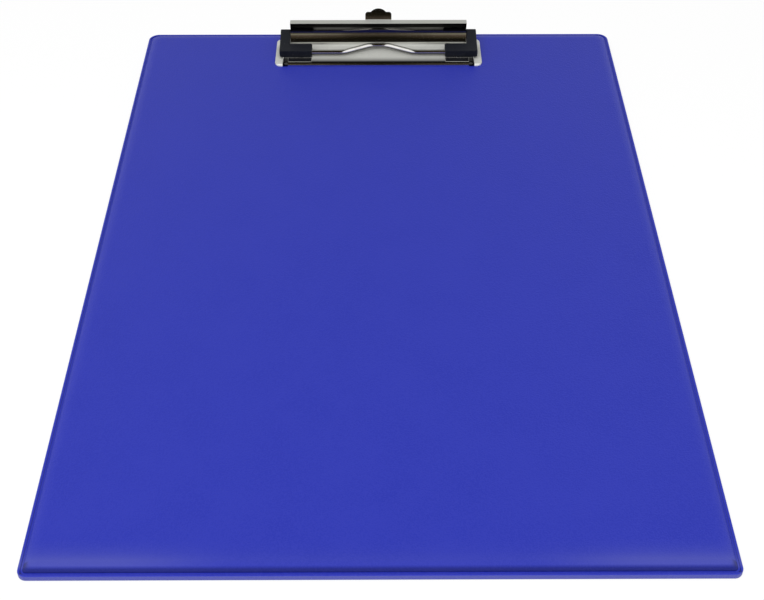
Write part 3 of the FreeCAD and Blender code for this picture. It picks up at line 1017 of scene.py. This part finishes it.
@dataclass
class BoardCovers:
    """Two plastic sheets welded round a stiff core, with a bead rim outside the weld groove."""

    width: float = 235.0
    length: float = 340.0
    corner_radius: float = 5.0
    front_radius: float = 3.0
    sheet: float = 0.45
    top: float = 3.4
    weld_height: float = 1.2
    rim_width: float = 1.0
    rim_height: float = 2.4
    rim_edge: float = 0.4
    rim_steps: int = 5
    groove_floor: float = 1.9
    groove_width: float = 0.7
    roll_width: float = 4.5
    roll_drop: float = 1.4
    roll_steps: int = 10
    panel_border: float = 1.125
    cup_radius: float = 5.0
    cup_depth: float = 0.9

    @property
    def wall(self) -> float:
        """How far inside the outline the hollow for the core begins."""
        return self.rim_width + self.groove_width + self.sheet

    def outline(self, work: Workpiece) -> BMFace:
        """The board's outline at the height of the weld.

        Args:
            work: The piece under construction.

        Returns:
            The one face.
        """
        half_x, half_y = self.width / 2, self.length / 2
        return work.rounded_face((-half_x, half_x), (-half_y, half_y), self.corner_radius,
                                 self.weld_height, front_radius=self.front_radius)

    def panel(self, work: Workpiece, face: BMFace, rise: float, top: float,
              border: float = 0.0) -> list[list[BMEdge]]:
        """One side of the raised panel.

        Args:
            work: The sheet under construction.
            face: The face inside the groove.
            rise: Height of the panel's wall below its roll.
            top: Height of the panel's top.
            border: Width of a level border inside the roll, where there is one.

        Returns:
            Loops of the two rivet holes in it.
        """
        face = work.roll(work.lift(face, rise), self.roll_width, self.roll_drop, self.roll_steps)
        if border:
            work.step(face, border)
        holes = [work.drop_face(work.disc(HOLE_RADIUS, *spot, top)) for spot in RIVET_SPOTS]
        work.open_face(face, holes)
        return holes

    def front(self) -> None:
        """Upper sheet: bead rim, groove, rolled panel, and the same hollow underneath."""
        work = Workpiece()
        under = self.outline(work)
        face = work.lift(under, self.rim_height - self.rim_edge - self.weld_height, keep=True)
        work.rounded_step(face, self.rim_edge, (0, 90), self.rim_steps)
        work.step(face, self.rim_width - 2 * self.rim_edge)
        work.rounded_step(face, self.rim_edge, (90, 180), self.rim_steps)
        face = work.lift(face, self.groove_floor - self.rim_height + self.rim_edge)
        work.step(face, self.groove_width)
        shoulder = self.top - self.roll_drop
        upper = self.panel(work, face, shoulder - self.groove_floor, self.top,
                           self.panel_border)
        work.step(under, self.wall)
        lower = self.panel(work, under, shoulder - self.sheet - self.weld_height,
                           self.top - self.sheet)
        work.bridge(zip(upper, lower))
        work.mount(Body.BOARD, "front_cover", "front_cover_sheet", VINYL)

    def back(self) -> None:
        """Lower sheet: flat, with a pressed cup at each rivet."""
        work = Workpiece()
        inner = self.outline(work)
        outer = work.lift(inner, self.rim_edge - self.weld_height, keep=True)
        work.rounded_step(outer, self.rim_edge, (0, -90), self.rim_steps)
        work.step(inner, self.wall)
        inner = work.lift(inner, self.sheet - self.weld_height)
        sides = []
        for face, z, radius in ((outer, 0.0, self.cup_radius),
                                (inner, self.sheet, self.cup_radius + self.sheet)):
            cups = [work.disc(radius, *spot, z) for spot in RIVET_SPOTS]
            work.open_face(face, [cup.edges for cup in cups])
            sides.append([work.cup(cup, self.cup_depth, radius - HOLE_RADIUS) for cup in cups])
        work.bridge(zip(*sides))
        work.mount(Body.BOARD, "back_cover", "back_cover_sheet", VINYL)

    def build(self) -> None:
        """Make both sheets and dress the core between them."""
        self.front()
        self.back()
        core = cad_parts["core_board"]
        core.data.materials.clear()
        core.data.materials.append(FIBRE.material("core_board_finish"))
        log.info("core_board keeps its solid, in %s", FIBRE.slot)


# The clip's fixed part


@dataclass
class BasePlate:
    """Sheet pressed into a tray with flat ends, rivet dimples and two lanced ears."""

    half_width: float = 51.4
    front: float = 137.0
    back: float = 162.0
    foot: float = 3.4
    sheet: float = 0.8
    corner_radius: float = 3.0
    tray_half: float = 47.8
    tray_inset: float = 0.3
    tray_top: float = 5.2
    tray_edge: float = 1.5
    tray_edge_steps: int = 8
    tray_corner: float = 3.0
    dimple_radius: float = 3.6
    ear_x: Pair = (42.4, 43.2)
    ear_radius: float = 2.1
    ear_steps: int = 24
    ear_hole: float = 1.26
    ear_sink: float = 0.4
    window_x: Pair = (36.57, 42.4)
    window_y: Pair = (157.7, 159.9)
    window_corner: float = 0.3
    window_steps: int = 4

    def tray(self, work: Workpiece, inset: float, foot: float) -> tuple[list[BMEdge], BMFace]:
        """One side of the raised tray.

        Args:
            work: The plate under construction.
            inset: How far this side lies inside the tray's outside, and below its top.
            foot: Height of the flat ends on this side.

        Returns:
            The loop at its foot, and its top face.
        """
        edge = self.tray_edge - inset
        lift = self.tray_top - inset - edge
        start = math.degrees(math.asin(max(foot - lift, 0.0) / edge))
        drawn = inset + edge * (1 - math.cos(math.radians(start)))
        half = self.tray_half - drawn
        face = work.rounded_face((-half, half), (self.front + self.tray_inset + drawn,
                                                 self.back - self.tray_inset - drawn),
                                 self.tray_corner - drawn, foot)
        loop = list(face.edges)
        face = work.lift(face, max(lift - foot, 0.0))
        work.rounded_step(face, edge, (start, 90), self.tray_edge_steps)
        return loop, face

    def window(self, work: Workpiece, sign: int, z: float) -> list[BMEdge]:
        """Loop of the slot that one ear leaves in the tray.

        Args:
            work: The piece under construction.
            sign: -1 for the left side, 1 for the right.
            z: Height of the side of the sheet.

        Returns:
            The loop.
        """
        x = sorted(sign * place for place in self.window_x)
        return work.drop_face(work.rounded_face((x[0], x[1]), self.window_y, self.window_corner,
                                                z, self.window_steps))

    def ear(self, work: Workpiece, sign: int) -> None:
        """Upright ear with the hole for the hinge pin.

        Args:
            work: The piece under construction.
            sign: -1 for the left side, 1 for the right.
        """
        near, far = (sign * place for place in self.ear_x)
        y, z = HINGE
        foot = self.tray_top - self.ear_sink
        outline = Pen(work, near, (y + self.ear_radius, foot)).line((y + self.ear_radius, z))
        edges = outline.arc(HINGE, 180, self.ear_steps).line((y - self.ear_radius, foot)).close()
        work.extrude(work.fill(edges + pin_hole(work, near, self.ear_hole)), (far - near, 0, 0))

    def build(self) -> None:
        """Press the plate and mount it."""
        work = Workpiece()
        x, y = (-self.half_width, self.half_width), (self.front, self.back)
        under = work.rounded_face(x, y, self.corner_radius, self.foot)
        upper = work.lift(under, self.sheet, keep=True)
        sides = []
        for flat, inset, foot in ((upper, 0.0, self.foot + self.sheet),
                                  (under, self.sheet, self.foot)):
            top, dimple = self.tray_top - inset, self.dimple_radius + inset
            loop, face = self.tray(work, inset, foot)
            work.open_face(flat, [loop])
            windows = [self.window(work, sign, top) for _, sign in SIDES]
            dimples = [work.disc(dimple, *spot, top) for spot in RIVET_SPOTS]
            work.open_face(face, windows + [list(disc.edges) for disc in dimples])
            sides.append(windows + [work.cup(disc, foot - top, dimple - HOLE_RADIUS)
                                    for disc in dimples])
        work.bridge(zip(*sides))
        for _, sign in SIDES:
            self.ear(work, sign)
        work.mount(Body.BOARD, "base_plate", "plate_pressing", PLATE_NICKEL, Edge.SHEARED)


@dataclass
class Rivets:
    """Two tubular rivets with a washer under each clinched foot."""

    shank_radius: float = 1.75
    head_radius: float = 3.0
    head: Pair = (4.2, 5.0)
    head_edge: float = 0.45
    foot_radius: float = 2.9
    foot: Pair = (0.05, 0.4)
    bore_radius: float = 1.25
    bore_depth: float = 2.2
    bore_point: float = 0.3
    washer_radius: float = 4.5
    washer: Pair = (0.4, 0.9)
    washer_edge: float = 0.1
    washer_edge_steps: int = 4
    facets: int = 48

    def turned(self, outline: Pen, spot: Pair) -> Workpiece:
        """Spin an outline about its own axis and set it at a rivet's place.

        Args:
            outline: Outline in the plane X = 0, about Y = 0.
            spot: X and Y of the rivet.

        Returns:
            The piece under construction.
        """
        work = outline.work
        bmesh.ops.spin(work.bm, geom=work.bm.verts[:] + work.bm.edges[:], axis=AXIS_Z,
                       cent=(0, 0, 0), angle=math.radians(360), steps=self.facets, use_merge=True)
        work.shift(work.bm.verts, (*spot, 0))
        return work

    def rivet(self) -> Pen:
        """Outline of a domed head, a shank and a rolled foot with its bore.

        Returns:
            The pen at the outline's end.
        """
        low, high = self.head
        head, edge = self.head_radius, self.head_edge
        base, seat = self.foot
        rim = (seat - base) / 2
        outline = Pen(Workpiece(), 0.0, (0.0, high)).line((head - edge, high))
        outline.arc((head - edge, high - edge), -90, ARC_STEPS)
        outline.line((head, low), (self.shank_radius, low), (self.shank_radius, seat),
                     (self.foot_radius, seat), (self.foot_radius, seat - rim))
        outline.arc((self.foot_radius - rim, seat - rim), -90, ARC_STEPS)
        outline.line((self.bore_radius + rim, base))
        outline.arc((self.bore_radius + rim, seat - rim), -90, ARC_STEPS)
        return outline.line((self.bore_radius, self.bore_depth),
                            (0.0, self.bore_depth + self.bore_point))

    def washer_ring(self) -> Pen:
        """Outline of a flat ring with a broken lower edge.

        Returns:
            The pen at the outline's end.
        """
        low, high = self.washer
        edge = self.washer_edge
        outline = Pen(Workpiece(), 0.0, (HOLE_RADIUS, low)).line((self.washer_radius - edge, low))
        outline.arc((self.washer_radius - edge, low + edge), 90, self.washer_edge_steps)
        outline.line((self.washer_radius, high), (HOLE_RADIUS, high)).close()
        return outline

    def build(self) -> None:
        """Set both rivets and washers."""
        for (side, _), spot in zip(SIDES, RIVET_SPOTS):
            self.turned(self.rivet(), spot).mount(
                Body.BOARD, f"rivet_{side}", f"rivet_{side}_set", RIVET_NICKEL)
            self.turned(self.washer_ring(), spot).mount(
                Body.BOARD, f"washer_{side}", f"washer_{side}_ring", WASHER_ZINC)


@dataclass
class TorsionSprings:
    """Mirrored pair of springs coiled round the hinge pins."""

    wire_radius: float = 0.4
    wire_facets: int = 12
    coil_radius: float = 1.85
    pitch: float = 1.25
    outer_x: float = 34.97
    low_angle: float = -150.0
    high_angle: float = 175.0
    turns: int = 6
    low_leg: float = 2.6
    high_leg: float = 4.6
    steps_per_turn: int = 28

    def build(self) -> None:
        """Coil both springs."""
        sweep = self.low_angle - (self.high_angle - 360 * (self.turns + 1))
        length = self.pitch * sweep / 360
        centre = Vector((0, *HINGE))
        angle = math.radians(self.low_angle)
        for side, sign in SIDES:
            work = Workpiece()
            place = Vector((sign * self.outer_x,
                            *point_about(HINGE, self.coil_radius, self.low_angle)))
            way = Vector((-sign * self.pitch / (2 * math.pi), self.coil_radius * math.sin(angle),
                          -self.coil_radius * math.cos(angle))).normalized()
            bender = WireBender(work, self.wire_radius, place - way * self.low_leg, way,
                                self.wire_facets)
            bender.feed(self.low_leg)
            bender.bend(centre, -AXIS_X, sweep, round(self.steps_per_turn * sweep / 360),
                        advance=sign * length)
            bender.feed(self.high_leg)
            bender.crop()
            piece = work.finish(f"spring_{side}_coil", SPRING_WIRE)
            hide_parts(f"spring_{side}")
            outer, inner = sign * self.outer_x, sign * (self.outer_x - length)
            outer * MM
            inner * MM
            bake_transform(piece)
            log.info("%s twists from %s to %s", piece.name, Body.BOARD.value, Body.JAW.value)


# The clip's jaw


@dataclass
class Lever:
    """One blank with a concave web, a top flange, two end cheeks and a finger tab."""

    half_width: float = 44.2
    sheet: float = 0.8
    web_radius: float = 6.6
    web_centre: Pair = (150.3, 12.7)
    web_low: float = -57.0
    web_high: float = 36.0
    web_steps: int = 40
    fold_radius: float = 0.35
    fold_steps: int = 8
    flange_depth: float = 3.4
    flange_rise: float = 0.2
    cheek_radius: float = 2.2
    cheek_steps: int = 12
    cheek_hole: float = 1.3
    tab_half: float = 6.55
    tab_shoulder: float = 3.6
    tab_corner: float = 1.3
    tab_height: float = 5.4
    tab_crown: float = 4.85
    tab_crown_steps: int = 20
    tab_curl: float = 10.0
    tab_curl_steps: int = 12
    tab_foot: float = 0.7
    tab_turn: float = 67.0
    tab_turn_steps: int = 8
    tab_inset: float = 0.48
    tab_overlap: float = 1.0
    tab_sink: float = 0.05

    @property
    def fold(self) -> Pair:
        """Sharp corner between web and flange, before its round."""
        return point_about(self.web_centre, self.web_radius, self.web_high)

    @property
    def rear(self) -> Pair:
        """Upper rear corner of the flange."""
        return self.fold[0] + self.flange_depth, self.fold[1] + self.flange_rise

    @property
    def rear_low(self) -> Pair:
        """Lower rear corner of the flange."""
        return self.rear[0], self.rear[1] - self.sheet

    @property
    def outer(self) -> float:
        """Radius of the web's rear side."""
        return self.web_radius + self.sheet

    @property
    def inner(self) -> float:
        """Angle at which the web's rear side meets the flange."""
        rise = self.fold[1] - self.sheet - self.web_centre[1]
        return math.degrees(math.asin(rise / self.outer))

    def section(self, work: Workpiece) -> None:
        """Section through web and flange at the lever's end.

        Args:
            work: The piece under construction.
        """
        slope = math.atan2(self.flange_rise, self.flange_depth)
        below = Vector((math.sin(slope), -math.cos(slope)))
        onto = Vector(self.fold) + below * self.fold_radius - Vector(self.web_centre)
        along = Vector((math.cos(slope), math.sin(slope)))
        reach = self.web_radius + self.fold_radius
        middle = onto.dot(along)
        run = math.sqrt(middle * middle - onto.length_squared + reach * reach) - middle
        centre = Vector(self.web_centre) + onto + along * run
        tangent = math.degrees(math.atan2(centre.y - self.web_centre[1],
                                          centre.x - self.web_centre[0]))
        pen = Pen(work, self.half_width, point_about(self.web_centre, self.web_radius,
                                                     self.web_low))
        pen.arc(self.web_centre, tangent - self.web_low, self.web_steps)
        pen.arc(tuple(centre), math.degrees(slope) - tangent - 90, self.fold_steps)
        pen.line(self.rear, self.rear_low, point_about(self.web_centre, self.outer, self.inner))
        pen.arc(self.web_centre, self.web_low - self.inner, self.web_steps).face()

    def cheek(self, work: Workpiece) -> None:
        """Rest of the end plate, from the web back round the hinge hole.

        Args:
            work: The piece under construction.
        """
        pen = Pen(work, self.half_width, point_about(self.web_centre, self.outer, self.web_low))
        pen.arc(self.web_centre, self.inner - self.web_low, self.web_steps)
        pen.line(self.rear_low, (HINGE[0] + self.cheek_radius, HINGE[1]))
        edges = pen.arc(HINGE, -90, self.cheek_steps).close()
        work.fill(edges + pin_hole(work, self.half_width, self.cheek_hole))

    def tab_blank(self, work: Workpiece, root: float, base: float) -> None:
        """Cut the tab's level blank, which runs along Y.

        Args:
            work: The lever under construction.
            root: Where its foot begins to turn up.
            base: Where the turn ends.
        """
        half, corner = self.tab_half, self.tab_corner
        rise = self.tab_height - self.tab_crown
        chord = math.sqrt(self.tab_crown ** 2 - (self.tab_shoulder - rise) ** 2)
        sweep = math.degrees(2 * math.asin(chord / self.tab_crown))
        top = base + self.tab_shoulder
        outline = Pen(work, 0.0, (root - self.tab_overlap, -half)).line((top - corner, -half))
        outline.arc((top - corner, corner - half), 90, ARC_STEPS)
        outline.line((top, -chord)).arc((base + rise, 0.0), sweep, self.tab_crown_steps)
        outline.line((top, half - corner)).arc((top - corner, half - corner), 90, ARC_STEPS)
        face = outline.line((root - self.tab_overlap, half)).face()
        flat = Matrix(((0, 0, 1, 0), (0, 1, 0, 0), (-1, 0, 0, 0), (0, 0, 0, 1)))
        bmesh.ops.transform(work.bm, matrix=flat, verts=list(face.verts))
        work.shift(list(face.verts), (0, 0, self.rear[1] - self.tab_sink))

    def tab(self, work: Workpiece) -> None:
        """Finger tab, cut flat in the flange's plane, turned up at its foot and curled back.

        Args:
            work: The piece under construction.
        """
        bm = work.bm
        before = set(bm.verts)
        root = self.rear[0] - self.tab_inset
        bend = self.tab_foot * math.radians(self.tab_turn)
        self.tab_blank(work, root, root + bend)
        rows = []
        for start, length, degrees, steps in (
                (root, bend, self.tab_turn, self.tab_turn_steps),
                (root + bend, self.tab_height, -math.degrees(self.tab_height / self.tab_curl),
                 self.tab_curl_steps)):
            rows += [(start + length * (index + 0.5) / steps, degrees / steps)
                     for index in range(steps)]
        for place, _ in rows:
            geom = [vert for vert in bm.verts if vert not in before]
            geom += [line for line in bm.edges if line.verts[0] not in before]
            geom += [item for item in bm.faces if item.verts[0] not in before]
            bmesh.ops.bisect_plane(bm, geom=geom, dist=WELD, plane_co=(0, place, 0),
                                   plane_no=AXIS_Y)
        mine = [vert for vert in bm.verts if vert not in before]
        turns = [([vert for vert in mine if vert.co.y > place + WELD],
                  next(vert for vert in mine if abs(vert.co.y - place) <= WELD), angle)
                 for place, angle in rows]
        for beyond, pivot, angle in turns:
            bmesh.ops.rotate(bm, cent=Vector((0, pivot.co.y, pivot.co.z)), verts=beyond,
                             matrix=Matrix.Rotation(math.radians(angle), 3, "X"))
        faces = [item for item in bm.faces if item.verts[0] not in before]
        bmesh.ops.recalc_face_normals(bm, faces=faces)
        if max(faces, key=lambda item: item.calc_center_median().z).normal.y > 0:
            bmesh.ops.reverse_faces(bm, faces=faces)
        bmesh.ops.solidify(bm, geom=faces, thickness=self.sheet)

    def build(self) -> None:
        """Press the lever and mount it."""
        work = Workpiece()
        bm = work.bm
        self.section(work)
        self.cheek(work)
        bmesh.ops.remove_doubles(bm, verts=bm.verts, dist=WELD)
        made = work.extrude(list(bm.faces), (-self.sheet, 0, 0))
        web = max(made, key=lambda item: len(item.verts))
        work.drop_face(work.push(web, (self.sheet - self.half_width, 0, 0)))
        bmesh.ops.mirror(bm, geom=bm.verts[:] + bm.edges[:] + bm.faces[:],
                         matrix=Matrix.Identity(4), merge_dist=WELD, axis="X")
        self.tab(work)
        work.mount(Body.JAW, "lever", "lever_pressing", LEVER_NICKEL, Edge.SHEARED)


@dataclass
class WireBow:
    """Round wire that holds the paper, its rear ends turned in as the hinge pins."""

    wire_radius: float = 1.2
    side_x: float = 46.85
    front_y: float = 144.3
    front_z: float = 7.2
    hump_depth: float = 5.7
    hump_top: float = 4.0
    hump_foot: float = 17.4
    tip_x: float = 23.55
    tip_rise: float = 5.0
    tip_lean: float = 0.8
    bends: tuple[float, ...] = (2.0, 2.4, 3.0, 12.0, 12.0)
    sharp_from: float = 60.0

    def half(self, sign: int) -> list[Vector]:
        """Corners of one half, from the turned-up tip to the hump's top.

        Args:
            sign: -1 for the left side, 1 for the right.

        Returns:
            The corners.
        """
        y, z = HINGE
        lift = self.hump_depth * (z - self.front_z) / (y - self.front_y)
        return [Vector((sign * across, *place)) for across, place in (
            (self.tip_x, (y + self.tip_lean, z + self.tip_rise)),
            (self.tip_x, HINGE),
            (self.side_x, HINGE),
            (self.side_x, (self.front_y, self.front_z)),
            (self.hump_foot, (self.front_y, self.front_z)),
            (self.hump_top, (self.front_y + self.hump_depth, self.front_z + lift)))]

    def build(self) -> None:
        """Bend the bow and mount it."""
        work = Workpiece()
        corners = self.half(-1) + self.half(1)[::-1]
        bender = WireBender(work, self.wire_radius, corners[0], corners[1] - corners[0])
        bender.follow(corners[1:], self.bends + self.bends[::-1])
        bender.crop()
        work.mount(Body.JAW, "wire_bow", "bow_wire", WIRE_NICKEL, Edge.SHEARED, self.sharp_from)


@dataclass
class CornerGrips:
    """Two moulded grips round the bow's corners, each with a small moulding pip."""

    inner_x: float = 44.4
    outer_x: float = 49.3
    foot_x: float = 33.1
    front: float = 142.2
    heel: float = 149.6
    bottom: float = 5.4
    top: float = 9.0
    tail_radius: float = 1.9
    tail_angles: Pair = (105.0, -75.0)
    tail_steps: int = 16
    corner_radius: float = 1.4
    foot_radius: float = 0.9
    pip_x: float = 42.7
    pip_z: float = 7.2
    pip_radius: float = 0.45
    pip_height: float = 0.25
    pip_facets: tuple[int, int] = (16, 10)

    def round_upright(self, work: Workpiece, x: float, y: float, radius: float) -> None:
        """Round the upright edge at one place.

        Args:
            work: The piece under construction.
            x: X of the edge.
            y: Y of the edge.
            radius: Radius of the round.
        """
        edges = [line for line in work.bm.edges
                 if all(abs(vert.co.x - x) < WELD and abs(vert.co.y - y) < WELD
                        for vert in line.verts)]
        bmesh.ops.bevel(work.bm, geom=edges, offset=radius, offset_type="OFFSET",
                        segments=ARC_STEPS, profile=0.5, affect="EDGES", material=-1)

    def moulding(self, side: str, sign: int) -> None:
        """One grip: side arm with its tail, foot along the front, rounded corners and pip.

        Args:
            side: Name of the side.
            sign: -1 for the left side, 1 for the right.
        """
        work = Workpiece()
        bm = work.bm
        outer = sign * self.outer_x
        heel = ((self.heel, self.top), (self.heel, self.bottom))
        Pen(work, outer, (self.front, self.bottom)).line((self.front, self.top), *heel).face()
        tail = Pen(work, outer, heel[1]).line(heel[0])
        tail.line(point_about(HINGE, self.tail_radius, self.tail_angles[0]))
        tail.arc(HINGE, self.tail_angles[1] - self.tail_angles[0], self.tail_steps).face()
        bmesh.ops.remove_doubles(bm, verts=bm.verts, dist=WELD)
        made = work.extrude(list(bm.faces), (sign * (self.inner_x - self.outer_x), 0, 0))
        inner = min(made, key=lambda item: item.calc_center_median().y)
        work.push(inner, (sign * (self.foot_x - self.inner_x), 0, 0))
        self.round_upright(work, outer, self.front, self.corner_radius)
        self.round_upright(work, sign * self.foot_x, self.front, self.foot_radius)
        self.round_upright(work, sign * self.foot_x, self.heel, self.foot_radius)
        pip = bmesh.ops.create_uvsphere(bm, u_segments=self.pip_facets[0],
                                        v_segments=self.pip_facets[1], radius=self.pip_radius)
        work.shift(pip["verts"], (sign * self.pip_x,
                                  self.front + self.pip_radius - self.pip_height, self.pip_z))
        work.mount(Body.JAW, f"corner_grip_{side}", f"grip_{side}_moulding", GRIP_BLACK,
                   Edge.MOULDED)

    def build(self) -> None:
        """Mould both grips."""
        for side, sign in SIDES:
            self.moulding(side, sign)


# Studio and camera


# Colours of the mirrored room behind the object, as stops of a Studio's strip and core.
ROOM_BEHIND: tuple[tuple[float, Colour], ...] = (
    (112.0, (0.01, 0.009, 0.008, 1.0)),
    (126.0, (0.57, 0.58, 0.54, 1.0)),
    (180.0, (0.57, 0.58, 0.54, 1.0)),
)


@dataclass
class Studio:
    """Pale floor, soft light, and the room that the bright metal mirrors.

    The room is a strip from the camera's side over the roof to the back, between two white
    screens, with the camera's own dark shape along its middle. Its colours are given by their
    angle up from the front.
    """

    floor_half: float = 3000.0
    floor_corner: float = 300.0
    floor_gap: float = 0.3
    floor_colour: Colour = (0.97, 0.97, 0.97, 1.0)
    floor_glow: float = 0.85
    fill: float = 0.5
    lamp_power: float = 9.0
    lamp_size: Pair = (1200.0, 700.0)
    lamp_place: Triple = (-100.0, -500.0, 800.0)
    screen_edge: Pair = (0.16, 0.3)
    core_edge: Pair = (0.015, 0.04)
    strip: tuple[tuple[float, Colour], ...] = (
        (0.0, (0.03, 0.025, 0.014, 1.0)),
        (5.0, (0.05, 0.045, 0.03, 1.0)),
        (11.6, (0.22, 0.21, 0.155, 1.0)),
        (20.6, (0.115, 0.095, 0.072, 1.0)),
        (29.5, (0.07, 0.053, 0.038, 1.0)),
        (47.0, (0.03, 0.024, 0.013, 1.0)),
        (56.0, (0.006, 0.005, 0.003, 1.0)),
        *ROOM_BEHIND,
    )
    core: tuple[tuple[float, Colour], ...] = (
        (0.0, (0.035, 0.03, 0.018, 1.0)),
        (11.6, (0.055, 0.043, 0.03, 1.0)),
        (29.5, (0.026, 0.021, 0.014, 1.0)),
        (38.0, (0.006, 0.005, 0.002, 1.0)),
        *ROOM_BEHIND,
    )

    @staticmethod
    def seen(graph: Graph) -> Value:
        """1 for rays that show a picture, from the camera, a mirror or clear plastic.

        Args:
            graph: The graph that is filled.

        Returns:
            The share.
        """
        path = [graph.node("ShaderNodeLightPath", output=name)
                for name in ("Is Camera Ray", "Is Glossy Ray", "Is Transmission Ray")]
        return path[0] | path[1] | path[2]

    def floor(self) -> None:
        """Pale floor that the camera sees as white, with the object's shadow on it."""
        work = Workpiece()
        sides = (-self.floor_half, self.floor_half)
        work.rounded_face(sides, sides, self.floor_corner, -self.floor_gap)
        made = bpy.data.materials.new("studio_floor")
        made.use_nodes = True
        graph = Graph(made.node_tree)
        matt = graph.node("ShaderNodeBsdfDiffuse", {}, {"Color": self.floor_colour})
        glow = graph.node("ShaderNodeEmission", {}, {"Strength": 1.0})
        surface = graph.node("ShaderNodeMixShader", {}, {
            0: self.seen(graph) * self.floor_glow, 1: matt, 2: glow})
        graph.node("ShaderNodeOutputMaterial", {}, {"Surface": surface})
        made.cycles.emission_sampling = "NONE"
        ground = work.finish("studio_floor", FIBRE)
        ground.modifiers.clear()
        ground.data.materials[0] = made

    def world(self) -> None:
        """White surroundings, with the room that only mirrors see."""
        world = bpy.data.worlds.new("studio")
        world.use_nodes = True
        bpy.context.scene.world = world
        graph = Graph(world.node_tree)
        way = graph.node("ShaderNodeTexCoord", output="Generated")
        x, y, z = (graph.node("ShaderNodeSeparateXYZ", {}, {0: way}, axis) for axis in "XYZ")
        turn = graph.node("ShaderNodeMath", {"operation": "ARCTAN2"}, {0: z, 1: y * -1.0})
        strip, core = (graph.node("ShaderNodeValToRGB", {
            "stops": [(degrees / 180, colour) for degrees, colour in table]},
            {"Fac": turn * (1 / math.pi)}) for table in (self.strip, self.core))
        side = abs(x)
        room = graph.mix(graph.ramp(side, *self.core_edge), core, strip)
        room = graph.mix(graph.ramp(side, *self.screen_edge), room, WHITE)
        mirrored = graph.node("ShaderNodeLightPath", output="Is Glossy Ray")
        seen = self.seen(graph)
        back = graph.node("ShaderNodeBackground", {}, {
            "Color": graph.mix(mirrored, WHITE, room),
            "Strength": seen + (1.0 - seen) * self.fill})
        graph.node("ShaderNodeOutputWorld", {}, {"Surface": back})
        world.cycles.sampling_method = "NONE"

    def lamp(self) -> None:
        """Large soft light in front and above, left out of the mirrored room."""
        data = bpy.data.lights.new("softbox", "AREA")
        data.shape = "RECTANGLE"
        data.size, data.size_y = (side * MM for side in self.lamp_size)
        data.energy = self.lamp_power
        made = bpy.data.objects.new("softbox", data)
        place = Vector(self.lamp_place) * MM
        turn = place.to_track_quat("Z", "Y").to_matrix().to_4x4()
        made.matrix_world = Matrix.Translation(place) @ turn
        made.visible_glossy = False
        bpy.context.scene.collection.objects.link(made)

    def build(self) -> None:
        """Set up the studio."""
        self.floor()
        self.world()
        self.lamp()
        bpy.context.scene.view_settings.view_transform = "Standard"
        log.info("studio stands round the board")


@dataclass
class ProductCamera:
    """Camera of the product view: in front of the board, looking down at it."""

    place: Triple = (-0.708, -426.89, 349.13)
    look_down: float = 41.604
    turn_right: float = 0.253
    roll: float = 0.024
    lens: float = 61.858
    sensor: float = 36.0
    reach: Pair = (10.0, 20000.0)

    def build(self) -> None:
        """Set up the camera."""
        data = bpy.data.cameras.new("product_camera")
        data.lens = self.lens
        data.sensor_width = self.sensor
        data.clip_start, data.clip_end = (end * MM for end in self.reach)
        made = bpy.data.objects.new("product_camera", data)
        turn = (Matrix.Rotation(math.radians(-self.turn_right), 4, "Z")
                @ Matrix.Rotation(math.radians(90 - self.look_down), 4, "X")
                @ Matrix.Rotation(math.radians(self.roll), 4, "Z"))
        made.matrix_world = Matrix.Translation(Vector(self.place) * MM) @ turn
        bpy.context.scene.collection.objects.link(made)
        bpy.context.scene.camera = made


def main() -> None:
    """Build the clipboard, the studio and the camera."""
    logging.basicConfig(level=logging.INFO, format="%(message)s")
    for part in (BoardCovers(), BasePlate(), Rivets(), TorsionSprings(), Lever(), WireBow(),
                 CornerGrips(), Studio(), ProductCamera()):
        part.build()


if __name__ == "__main__":
    main()
